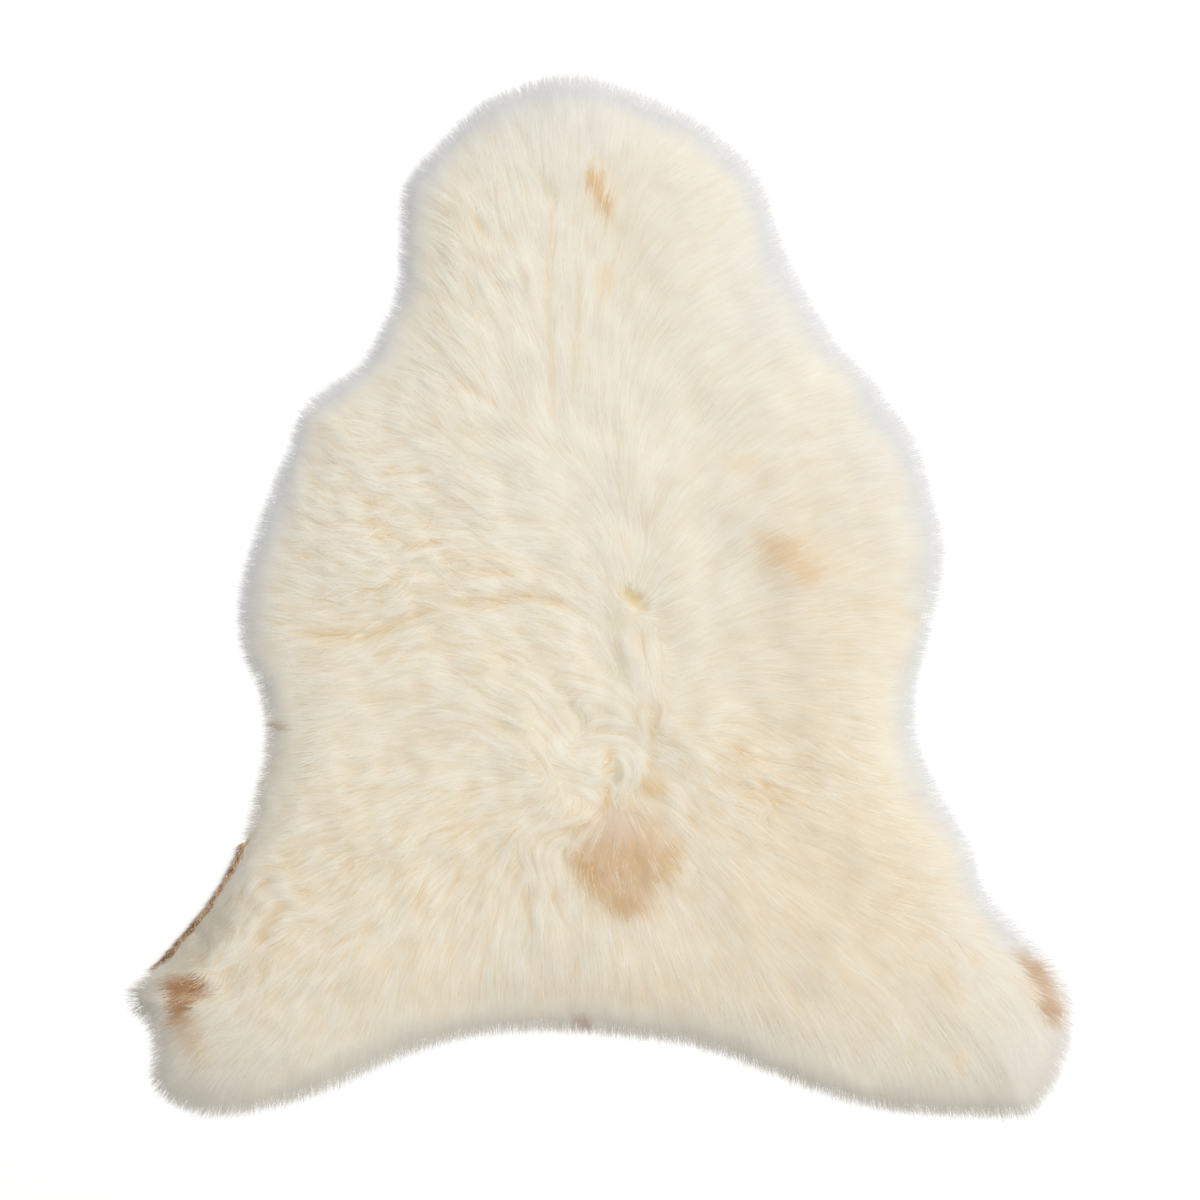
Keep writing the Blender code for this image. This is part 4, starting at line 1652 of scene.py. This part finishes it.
@dataclass(frozen=True)
class WoolColouring:
    """Gives strands what their colours follow: run, warmth and rim in one attribute, place in the other."""

    crease_shade: float = 0.60  # how much golden shade is painted on wool in a crease, and the next field how much in a hollow between humps
    hollow_shade: float = 0.46
    rim_luck: Pair = (0.6, 1.3)  # how unlike their neighbours strands are at the rim
    pivot: float = 0.75  # where along its length a strand keeps its own colour where the wool is calm
    least_run: float = 0.30  # how much of the change along its length it keeps there
    rooted: float = 0.3  # how far a strand takes the stain at its middle point all along
    shift: float = 3.5 * MM  # how far along a strand the stains' edges are shifted
    shyness: float = 1.8 * MM  # how far each one's own draw takes it out of the stains

    def add_to(self, ribbons: Ribbons, pelt: Pelt, flat: Array, luck: Array) -> None:
        """Adds the two attributes.

        Args:
            ribbons: the strands' mesh.
            pelt: the pelt.
            flat: the strands' points on the floor.
            luck: how much warmer than its neighbours each one is.
        """
        # Golden shade is painted in the creases and the hollows, over the grease and each strand's own draw.
        warmth = (pelt.grease.at(flat[:, 2]) + luck)[:, None] + self.crease_shade * pelt.crease_shade.at(flat)
        warmth += self.hollow_shade * pelt.hollow_shade.at(flat)
        warmth = np.clip(warmth, 0, 1)[:, ribbons.ring]
        # The rim's grey, partly painted shade
        rim = pelt.grey_and_shade.at(flat)[:, ribbons.ring]
        rim = np.minimum(rim * ribbons.draws.uniform(*self.rim_luck, (len(flat), 1)), 1)
        drawn = pelt.unrest.at(flat[:, 0])[:, None]
        run = self.pivot + (ribbons.run - self.pivot) * at_least(self.least_run, drawn)
        ribbons.add_attribute("strand", np.stack([run, warmth, rim], axis=-1))
        shift = ribbons.draws.normal(0, self.shift, (len(flat), 1, 1))
        place = (1 - self.rooted) * flat + self.rooted * flat[:, 3:4]
        place = place + unit(flat[:, -1:] - flat[:, :1]) * shift
        shy = ribbons.draws.normal(0, self.shyness, (len(flat), 1, 1))
        place = np.concatenate([place, np.broadcast_to(shy, (*place.shape[:2], 1))], axis=-1)
        ribbons.add_attribute("place", place[:, ribbons.ring])


@dataclass
class Coat:
    """One coat of strands over the whole rug, as one joined mesh."""

    pelt: Pelt
    underwool: Underwool  # what the strands root in
    locks: Clumps  # the large clumps
    tufts: Clumps  # the small ones
    kind: CoatKind  # which kind of strand
    number: int  # which coat it is, which also seeds it
    strands: int = 19400  # how many strands it has
    rim_share: float = 0.32  # how many of them root in the band beside the rim
    rim_band: Pair = (13 * MM, 46 * MM)  # how far inside the outline that band starts and ends
    loose_band: Pair = (12 * MM, 55 * MM)  # how far inside it the strands start to draw together in locks
    # How many stand loose over the rest. The next five say how far those turn and swing, how wide they are,
    # how far they keep to their tufts and how high they lie.
    stray_share: float = 0.06
    stray_angle: float = 0.30
    stray_wave: float = 2.0
    stray_width: float = 0.5
    stray_gather: float = 0.1
    stray_lift: Pair = (1 * MM, 6 * MM)
    # How far inside the outline the tips end, how much that varies, and its limits.
    fray: Four = (-2.8 * MM, 2.6 * MM, -8 * MM, 6 * MM)
    bare_fray: float = 0.5  # what share of that is left at the bare edge
    shortest_share: float = 0.12  # how little of a strand the outline may leave
    tries: int = 40  # how many roots are drawn for each one wanted
    beside_bare: float = 2 * MM  # how far inside the bare edge the strands root
    # How much more wool grows where it spreads apart, and most_spread how much at most.
    full_spread: float = 0.03
    most_spread: float = 2.5
    sharpest_bend: float = 0.3  # the least cosine between a strand's pieces, below which it has folded back
    # How unlike their lengths are by lock and by tuft, and the shortest strand's share.
    lengths: Triple = (0.10, 0.05, 0.70)
    # How far they stray from the wool's lie, and rim_astray how much more at the rim.
    astray: float = math.radians(4)
    rim_astray: float = 3.0
    # How unlike their swings' starts are by lock, by tuft and by strand.
    phases: Triple = (math.pi, 0.9, 0.25)
    # How far they swing where the wool is calm, and how much more, also by lock, where it isn't.
    waves: Triple = (0.5, 1.2, 0.5)
    # How far they keep to their tufts where the wool is calm, and at the rim.
    least_gathers: Pair = (0.35, 0.08)
    lock_pull: float = 0.62  # how far a lock closes in on its middle, and pull_power how late along it
    pull_power: float = 1.2
    swing_power: float = 0.7  # how late along a strand its swing grows
    # How unlike their heights are by lock, by tuft and by strand.
    lifts: Triple = (2.2 * MM, 0.8 * MM, 1.0 * MM)
    lock_crown: float = 3.6 * MM  # how much higher a lock's middle lies than its sides
    # How wide they are, and rim_width the share left at the rim, over the rim_narrowing.
    widths: Pair = (0.7, 1.2)
    rim_width: float = 0.38
    rim_narrowing: float = 26 * MM
    # How far they are lit as themselves in calm wool, and how much more elsewhere.
    rounding: Pair = (0.04, 0.09)
    lock_rounding: float = 0.20  # how far they are lit as the round lock that they lie in
    # How unlike their colours are by lock, by tuft and by strand, least_unlike what share of that is left in
    # calm wool, and unruly_warmth how much more strands differ elsewhere.
    warmths: Triple = (0.16, 0.22, 0.03)
    least_unlike: float = 0.3
    unruly_warmth: float = 2.5
    # From what draw on a tuft is golden, how far past it fully, and how golden then.
    golden_tufts: Triple = (0.7, 0.3, 0.16)
    # How much warmer a lock's sides are, golden shade painted where the coats cast none, and unruly_cool how
    # much cooler unruly wool is.
    lock_side_shade: float = 0.8
    unruly_cool: float = 0.05

    @property
    def name(self) -> str:
        """The coat's name."""
        return f"wool_{self.number}_{self.kind.value}"

    def roots(self, draws: np.random.Generator) -> Array:
        """Draws where the strands root, all over the rug, with more beside the rim and where they spread.

        Args:
            draws: the source of the draws.

        Returns:
            The roots.
        """
        at_rim = int(self.strands * self.rim_share)
        low, high = self.pelt.outline.min(axis=0), self.pelt.outline.max(axis=0)
        drawn = draws.uniform(low, high, (self.strands * self.tries, 2))
        wanted = 1 + np.minimum(self.full_spread * self.pelt.spread.at(drawn), self.most_spread)
        kept = draws.random(len(drawn)) < wanted / (1 + self.most_spread)
        inside, bare = self.pelt.inside.at(drawn), self.pelt.bare.at(drawn)
        least = np.where(bare > 0.5 * MM, bare + self.beside_bare, self.rim_band[0])
        all_over = drawn[kept & (inside > least)][: self.strands - at_rim]
        beside = drawn[~kept & (inside > least) & (inside < self.rim_band[1])][:at_rim]
        return np.vstack([all_over, beside])

    def build(self) -> Object:
        """Builds the coat.

        Returns:
            The coat's object.
        """
        sizes = STRAND_SIZES[self.kind]
        draws = np.random.default_rng(100 + self.number)
        roots = self.roots(draws)
        count = len(roots)
        stray = draws.random(count) < self.stray_share
        lock, tuft = self.locks.nearest(roots), self.tufts.nearest(roots)
        lock_draw, tuft_draw = self.locks.luck[lock], self.tufts.luck[tuft]
        centre, tuft_centre = self.locks.middles[lock], self.tufts.middles[tuft]
        loose = eased(*self.loose_band, self.pelt.inside.at(roots) + 10 * self.pelt.bare.at(roots))
        drawn = loose * self.pelt.unrest.at(roots)

        by_lock, by_tuft, shortest = self.lengths
        length = 1 - by_lock + by_lock * lock_draw[:, LockLuck.LENGTH] * drawn
        length = sizes.length * (length + by_tuft * tuft_draw[:, TuftLuck.LENGTH])
        length *= draws.uniform(shortest, 1.0, count)
        astray = draws.normal(0, self.astray, count) * (1 + self.rim_astray * (1 - loose))
        astray += np.where(stray, draws.normal(0, self.stray_angle, count), 0)
        far = np.full(count, sizes.length * GUIDE_REACH)
        still = np.zeros(count)
        own = self.pelt.walk(roots, far, astray, still, still)
        guides = self.guides(sizes.length)
        by_lock, by_tuft, by_strand = self.phases
        phase = lock_draw[:, LockLuck.PHASE] * by_lock + tuft_draw[:, TuftLuck.PHASE] * by_tuft
        phase = phase + draws.normal(0, by_strand, count)
        calm, unruly, by_lock = self.waves
        wave = sizes.wave * (calm + unruly * drawn + by_lock * lock_draw[:, LockLuck.WAVE] * drawn)
        wave *= 1 + CURLS.at(roots)
        wave *= np.where(stray, self.stray_wave, 1)
        calm, at_rim = self.least_gathers
        gather = sizes.gather * at_least(calm, drawn) * at_least(at_rim, loose)
        gather = np.where(stray, self.stray_gather, gather)

        def path(reach: Array) -> Array:
            """Lays each strand out on the floor, out to a reach in metres."""
            done = reach[:, None] * STRAND_SHARES / sizes.length
            pull = done[..., None] ** self.pull_power
            with_lock = read_paths(guides[lock], done / GUIDE_REACH)
            with_lock += (roots - centre)[:, None] * (1 - self.lock_pull * pull)
            points = read_paths(own, done / GUIDE_REACH) * (1 - drawn)[:, None, None]
            points += with_lock * drawn[:, None, None]
            points += (tuft_centre - roots)[:, None] * (gather[:, None, None] * pull)
            beside = to_the_right(unit(np.gradient(points, axis=1)))
            turn = 2 * math.pi * reach[:, None] * STRAND_SHARES / sizes.wave_length + phase[:, None]
            swing = np.sin(turn) - np.sin(phase)[:, None] * (1 - STRAND_SHARES)
            swing *= wave[:, None] * STRAND_SHARES**self.swing_power
            return points + beside * swing[..., None]

        reach = length * self.within_rim(path(length), draws)
        flat = path(reach)
        bend = unit(np.diff(flat, axis=1))
        smooth = (bend[:, 1:] * bend[:, :-1]).sum(axis=-1).min(axis=1) > self.sharpest_bend
        parts = (flat, roots, centre, stray, drawn, lock_draw, tuft_draw)
        flat, roots, centre, stray, drawn, lock_draw, tuft_draw = (part[smooth] for part in parts)
        count = len(flat)
        off = self.off_centre(flat, (roots - centre) / (0.5 * self.locks.pitch)) * drawn
        by_lock, by_tuft, by_strand = self.lifts
        lift = sizes.lift + by_lock * lock_draw[:, LockLuck.LIFT] * drawn
        lift = lift + by_tuft * tuft_draw[:, TuftLuck.LIFT] - self.lock_crown * off**2
        lift += draws.normal(0, by_strand, count)
        lift += np.where(stray, draws.uniform(*self.stray_lift, count), 0)
        points = self.raised(flat, roots, lift)

        width = sizes.width * draws.uniform(*self.widths, count) * np.where(stray, self.stray_width, 1)
        width *= at_least(self.rim_width, eased(0, self.rim_narrowing, self.pelt.inside.at(flat[:, -1])))
        ribbons = Ribbons(self.name, points, width, draws)
        calm, unruly = self.rounding
        fine = (calm + unruly * drawn)[:, None, None]
        ribbons.shade_by_wool(self.pelt.slope.at(flat), (self.lock_rounding * off)[:, None, None], fine)
        by_lock, by_tuft, by_strand = self.warmths
        uneven = at_least(self.least_unlike, drawn)
        first, span, gold = self.golden_tufts
        luck = by_lock * lock_draw[:, LockLuck.WARMTH] * uneven
        luck += gold * np.maximum(tuft_draw[:, TuftLuck.GOLD] - first, 0) / span
        own_luck = draws.normal(0, by_strand, count) * (1 + self.unruly_warmth * drawn)
        luck += by_tuft * tuft_draw[:, TuftLuck.WARMTH] * uneven + own_luck
        # A lock's sides are painted golden shade, as the coats cast no shadow.
        luck += self.lock_side_shade * off**2 - self.unruly_cool * drawn
        WoolColouring().add_to(ribbons, self.pelt, flat, luck)
        return ribbons.finished()

    def guides(self, length: float) -> Array:
        """Follows the lie of the wool from each lock's middle, in an S over the loins.

        Args:
            length: the strands' length.

        Returns:
            Each lock's path.
        """
        centres = self.locks.middles
        draws = np.random.default_rng(GUIDE_SEED)
        unrest = self.pelt.unrest.at(centres)
        turn = draws.normal(0, 1, len(centres)) * np.radians(4 + 18 * unrest)
        curl = 0.40 * CURLS.at(centres) + 0.55 * unrest
        phase = draws.normal(0, 0.6, len(centres)) + centres[:, 0] / (30 * MM)
        full = np.full(len(centres), length * GUIDE_REACH)
        return self.pelt.walk(centres, full, turn, curl, phase)

    def within_rim(self, paths: Array, draws: np.random.Generator) -> Array:
        """Finds what share of each path keeps its tip within the wool's outline, give or take a little.

        Args:
            paths: the strands on the floor at full length.
            draws: the source of the draws.

        Returns:
            The shares, up to 1.
        """
        middle, spread, least, most = self.fray
        limit = np.clip(draws.normal(middle, spread, len(paths)), least, most)
        bare = self.pelt.bare.at(paths)
        limit = np.where(bare.max(axis=1) > 1 * MM, np.abs(limit) * self.bare_fray, limit)
        inside = self.pelt.inside.at(paths) - bare
        past = inside < limit[:, None]
        first = np.where(past.any(axis=1), past.argmax(axis=1), STRAND_BENDS)
        first = np.maximum(first, 1)
        rows = np.arange(len(paths))
        before, after = inside[rows, first - 1], inside[rows, first]
        part = np.clip((before - limit) / np.maximum(before - after, 1e-6), 0, 1)
        share = np.where(past.any(axis=1), (first - 1 + part) / STRAND_BENDS, 1.0)
        return np.clip(share, self.shortest_share, 1)

    def raised(self, flat: Array, roots: Array, lift: Array) -> Array:
        """Raises the strands from their roots and lays them over on the wool's top.

        Args:
            flat: their points on the floor.
            roots: where they root.
            lift: how far above the wool's top each lies.

        Returns:
            Their points in space.
        """
        inside = self.pelt.inside.at(flat)
        lift = lift[:, None] * at_least(0.15, eased(0, 40 * MM, inside))
        top = np.maximum(self.pelt.top.at(flat) + lift, 0.7 * MM)
        root = self.underwool.height(roots) - 1.0 * MM
        arch = 1 - (1 - STRAND_SHARES) ** 2.3
        height = root[:, None] * (1 - arch) + top * arch
        return np.concatenate([flat, height[..., None]], axis=-1)

    @staticmethod
    def off_centre(flat: Array, offset: Array) -> Array:
        """Finds which side of its lock each strand is on, from -1 to 1.

        Args:
            flat: the strands' points on the floor.
            offset: how far each one's root is from its lock's middle, in half locks.

        Returns:
            The sides.
        """
        ahead = unit(flat[:, 2] - flat[:, 0])
        beside = to_the_right(ahead)
        return np.clip((offset * beside).sum(axis=1), -1, 1)


@dataclass
class LooseLocks:
    """The curled and waved locks that stand out from the coat, over the loins, the rump and the left leg."""

    pelt: Pelt
    density: float = 0.15  # strands for each millimetre of a lock's width and of its length
    strand_reach: Pair = (24 * MM, 46 * MM)  # the shortest and the longest strand
    strand_width: float = 0.75 * MM
    # How far they stand above the wool's top, and roundness how much higher a lock's middle does.
    lift: Pair = (0.0, 3.5 * MM)
    roundness: float = 1.5 * MM
    drift: float = 0.45  # how far they cross over to a side, and gather how far they close in
    gather: float = 0.5
    # How far from a lock's middle they root, in half widths, and widest the limit to that.
    spread: float = 0.8
    widest: float = 1.8
    sink: float = 0.5 * MM  # how far the lowest ones lie in the wool
    widths: Pair = (0.5, 1.3)  # how much their widths differ
    lean: float = 0.12  # how far they are lit as the rounded lock, and rounding as themselves
    rounding: float = 0.10
    loose_side_shade: float = 0.20  # how much warmer a lock's sides are, as painted shade, coolness how much cooler all of it is
    coolness: float = 0.04
    unevenness: float = 0.12  # how much strands differ in warmth

    def build(self) -> Object:
        """Builds the locks.

        Returns:
            The object with all of them.
        """
        draws = np.random.default_rng(31)
        flats, sides = [], []
        for lock in LOCK_PATHS:
            line, length = smooth_path(lock.points)
            count = int(self.density * lock.width * length / MM)
            across = to_the_right(unit(np.gradient(line, axis=0)))
            reach = np.minimum(draws.uniform(*self.strand_reach, count), 0.95 * length)
            start = draws.uniform(0, np.maximum(length - reach, 0.01 * MM))
            gone = np.minimum((start[:, None] + reach[:, None] * STRAND_SHARES) / length, 1)
            middle, offset = read_paths(line[None], gone), read_paths(across[None], gone)
            side = np.clip(draws.normal(0, self.spread, count), -self.widest, self.widest)[:, None]
            side = side * (1 - self.gather * STRAND_SHARES)
            side = side + draws.normal(0, self.drift, (count, 1)) * STRAND_SHARES
            flats.append(middle + offset * (side * 0.5 * lock.width * MM)[..., None])
            sides.append(side)
        flat, side = np.concatenate(flats), np.clip(np.concatenate(sides), -1.2, 1.2)
        lift = draws.uniform(*self.lift, (len(flat), 1)) * np.sin(math.pi * STRAND_SHARES) ** 0.5
        height = self.pelt.top.at(flat) + lift + self.roundness * (1 - side**2) - self.sink
        points = np.concatenate([flat, height[..., None]], axis=-1)
        width = self.strand_width * draws.uniform(*self.widths, len(flat))
        ribbons = Ribbons("loose_locks", points, width, draws, map_columns=80)
        ribbons.shade_by_wool(self.pelt.slope.at(flat), (self.lean * side)[..., None], self.rounding)
        # A lock's sides are painted golden shade.
        luck = self.loose_side_shade * (side**2).mean(axis=1) - self.coolness
        luck = luck + draws.normal(0, self.unevenness, len(flat))
        WoolColouring().add_to(ribbons, self.pelt, flat, luck)
        return ribbons.finished()


@dataclass
class EdgeHair:
    """The short brown hair on the skin's bare edge, at the left hind leg."""

    pelt: Pelt
    finish: HairFinish
    strands: int = 1500
    length: float = 7 * MM
    width: float = 0.7 * MM
    skin_top: float = 2.0 * MM
    height: float = 2.2 * MM  # how far it stands above the skin
    tangle: float = 0.35  # how far it strays from its lie, in radians
    combing: Pair = (-0.62, -0.78)  # which way it points
    corner: Pair = (-460 * MM, -385 * MM)  # where it grows, from this corner to far_corner
    far_corner: Pair = (-330 * MM, -235 * MM)

    def build(self) -> Object:
        """Builds the hair.

        Returns:
            The hair's object.
        """
        draws = np.random.default_rng(77)
        drawn = draws.uniform(self.corner, self.far_corner, (self.strands * 60, 2))
        inside, bare = self.pelt.inside.at(drawn), self.pelt.bare.at(drawn)
        grown = (inside > 0.5 * MM) & (inside < 1 * MM + bare) & (bare > 1 * MM)
        roots = drawn[grown][: self.strands]
        count = len(roots)
        heading = unit(self.pelt.lie.at(roots) * 0.35 + np.array(self.combing) * 0.65)
        heading = turned(heading, draws.normal(0, self.tangle, count))
        length = self.length * draws.uniform(0.5, 1.0, count)
        flat = roots[:, None] + heading[:, None] * (length[:, None] * STRAND_SHARES)[..., None]
        rise = self.height * draws.uniform(0.2, 1.3, count)
        height = self.skin_top + rise[:, None] * np.sin(STRAND_SHARES * math.pi * 0.7)
        points = np.concatenate([flat, height[..., None]], axis=-1)
        width = self.width * draws.uniform(0.6, 1.2, count)
        ribbons = Ribbons("edge_hair", points, width, draws, map_columns=40)
        patch = np.array([noise.noise(Vector((x, y, HAIR_SLICE))) for x, y in (roots / (9 * MM)).tolist()])
        light = np.clip(0.55 + 0.8 * patch + draws.normal(0, 0.28, count), 0, 1)
        light = np.broadcast_to(light[:, None], ribbons.run.shape)
        ribbons.add_attribute("strand", np.stack([ribbons.run, light, np.zeros_like(light)], axis=-1))
        hair = ribbons.finished()
        hair.data.materials.append(self.finish.material())
        return hair


# ------------------------------
# The studio


@dataclass
class Studio:
    """A white floor, a large soft light from the upper right, a weaker one opposite, and the camera above."""

    view_width: float = 1.2  # what the camera sees across, at the wool's height
    camera_height: float = 3.4  # how far above the floor the camera hangs
    centre: Pair = (0.002, -0.0035)  # the middle of the view
    sensor: float = 36.0  # the camera's width, in millimetres
    floor_size: float = 40.0
    sky: float = 0.52  # how bright the room is

    def build(self) -> None:
        """Builds the floor, the lights and the camera."""
        self.add_floor()
        self.add_camera()
        self.add_light("key", (8.4, 5.0, 9.3), 6.8, 1560.0, "#FFFCF6")
        self.add_light("fill", (-2.8, -1.0, 2.4), 3.0, 12.0, "#F2F5FF")
        world = bpy.data.worlds.new("studio")
        world.use_nodes = True
        background = world.node_tree.nodes["Background"]
        background.inputs["Color"].default_value = linear("#FCFDFF")
        background.inputs["Strength"].default_value = self.sky
        bpy.context.scene.world = world
        bpy.context.scene.view_settings.view_transform = "Standard"

    def add_floor(self) -> None:
        """Adds the floor."""
        bm = bmesh.new()
        bmesh.ops.create_grid(bm, x_segments=1, y_segments=1, size=self.floor_size / 2)
        floor = object_from_bmesh(bm, "floor", smooth=False)
        floor.data.materials.append(FloorFinish().material())

    def add_camera(self) -> None:
        """Hangs the camera straight above the rug, with the neck at the top of the picture."""
        data = bpy.data.cameras.new("camera")
        data.sensor_width = self.sensor
        data.lens = self.sensor * self.camera_height / self.view_width
        camera = bpy.data.objects.new("camera", data)
        camera.location = (*self.centre, self.camera_height)
        bpy.context.scene.collection.objects.link(camera)
        bpy.context.scene.camera = camera

    def add_light(self, name: str, place: tuple, size: float, power: float, colour: str) -> None:
        """Adds a square soft light that faces the rug.

        Args:
            name: its name.
            place: where it hangs.
            size: its side.
            power: in watts.
            colour: as #RRGGBB.
        """
        data = bpy.data.lights.new(name, "AREA")
        data.shape = "SQUARE"
        data.size = size
        data.energy = power
        data.color = linear(colour)[:3]
        light = bpy.data.objects.new(name, data)
        light.location = place
        light.rotation_euler = (-Vector(place)).to_track_quat("-Z", "Y").to_euler()
        light.visible_camera = False
        bpy.context.scene.collection.objects.link(light)


# ------------------------------
# The whole rug


def place_piece(piece: Object) -> None:
    """Lets a piece ride with the rug and stand for its solid.

    Args:
        piece: the piece.
    """
    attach(piece, BODY)
    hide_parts(NODE)
    piece.data.calc_loop_triangles()
    log.info("%s: %d triangles", piece.name, len(piece.data.loop_triangles))


def main() -> None:
    """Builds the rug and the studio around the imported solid."""
    logging.basicConfig(level=logging.INFO, format="%(name)s: %(message)s")
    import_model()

    pelt = Pelt()
    wool = WoolFinish()
    skin = Skin(pelt, SuedeFinish()).build()
    place_piece(skin)
    base = Underwool(pelt, wool)
    underwool = base.build()
    place_piece(underwool)

    hair = EdgeHair(pelt, HairFinish()).build()
    place_piece(hair)
    strand_finish = wool.material(strands=True)
    locks = Clumps(pelt, 11 * MM, 1)
    tufts = Clumps(pelt, 4.6 * MM, 2)
    kinds = (CoatKind.DOWN, CoatKind.STAPLE, CoatKind.STAPLE, CoatKind.STAPLE, CoatKind.GUARD)
    coats = [Coat(pelt, base, locks, tufts, kind, number) for number, kind in enumerate(kinds, start=1)]
    for coat in (*coats, LooseLocks(pelt)):
        piece = coat.build()
        piece.data.materials.append(strand_finish)
        piece.visible_shadow = False
        piece.visible_diffuse = False
        place_piece(piece)

    Studio().build()


if __name__ == "__main__":
    main()
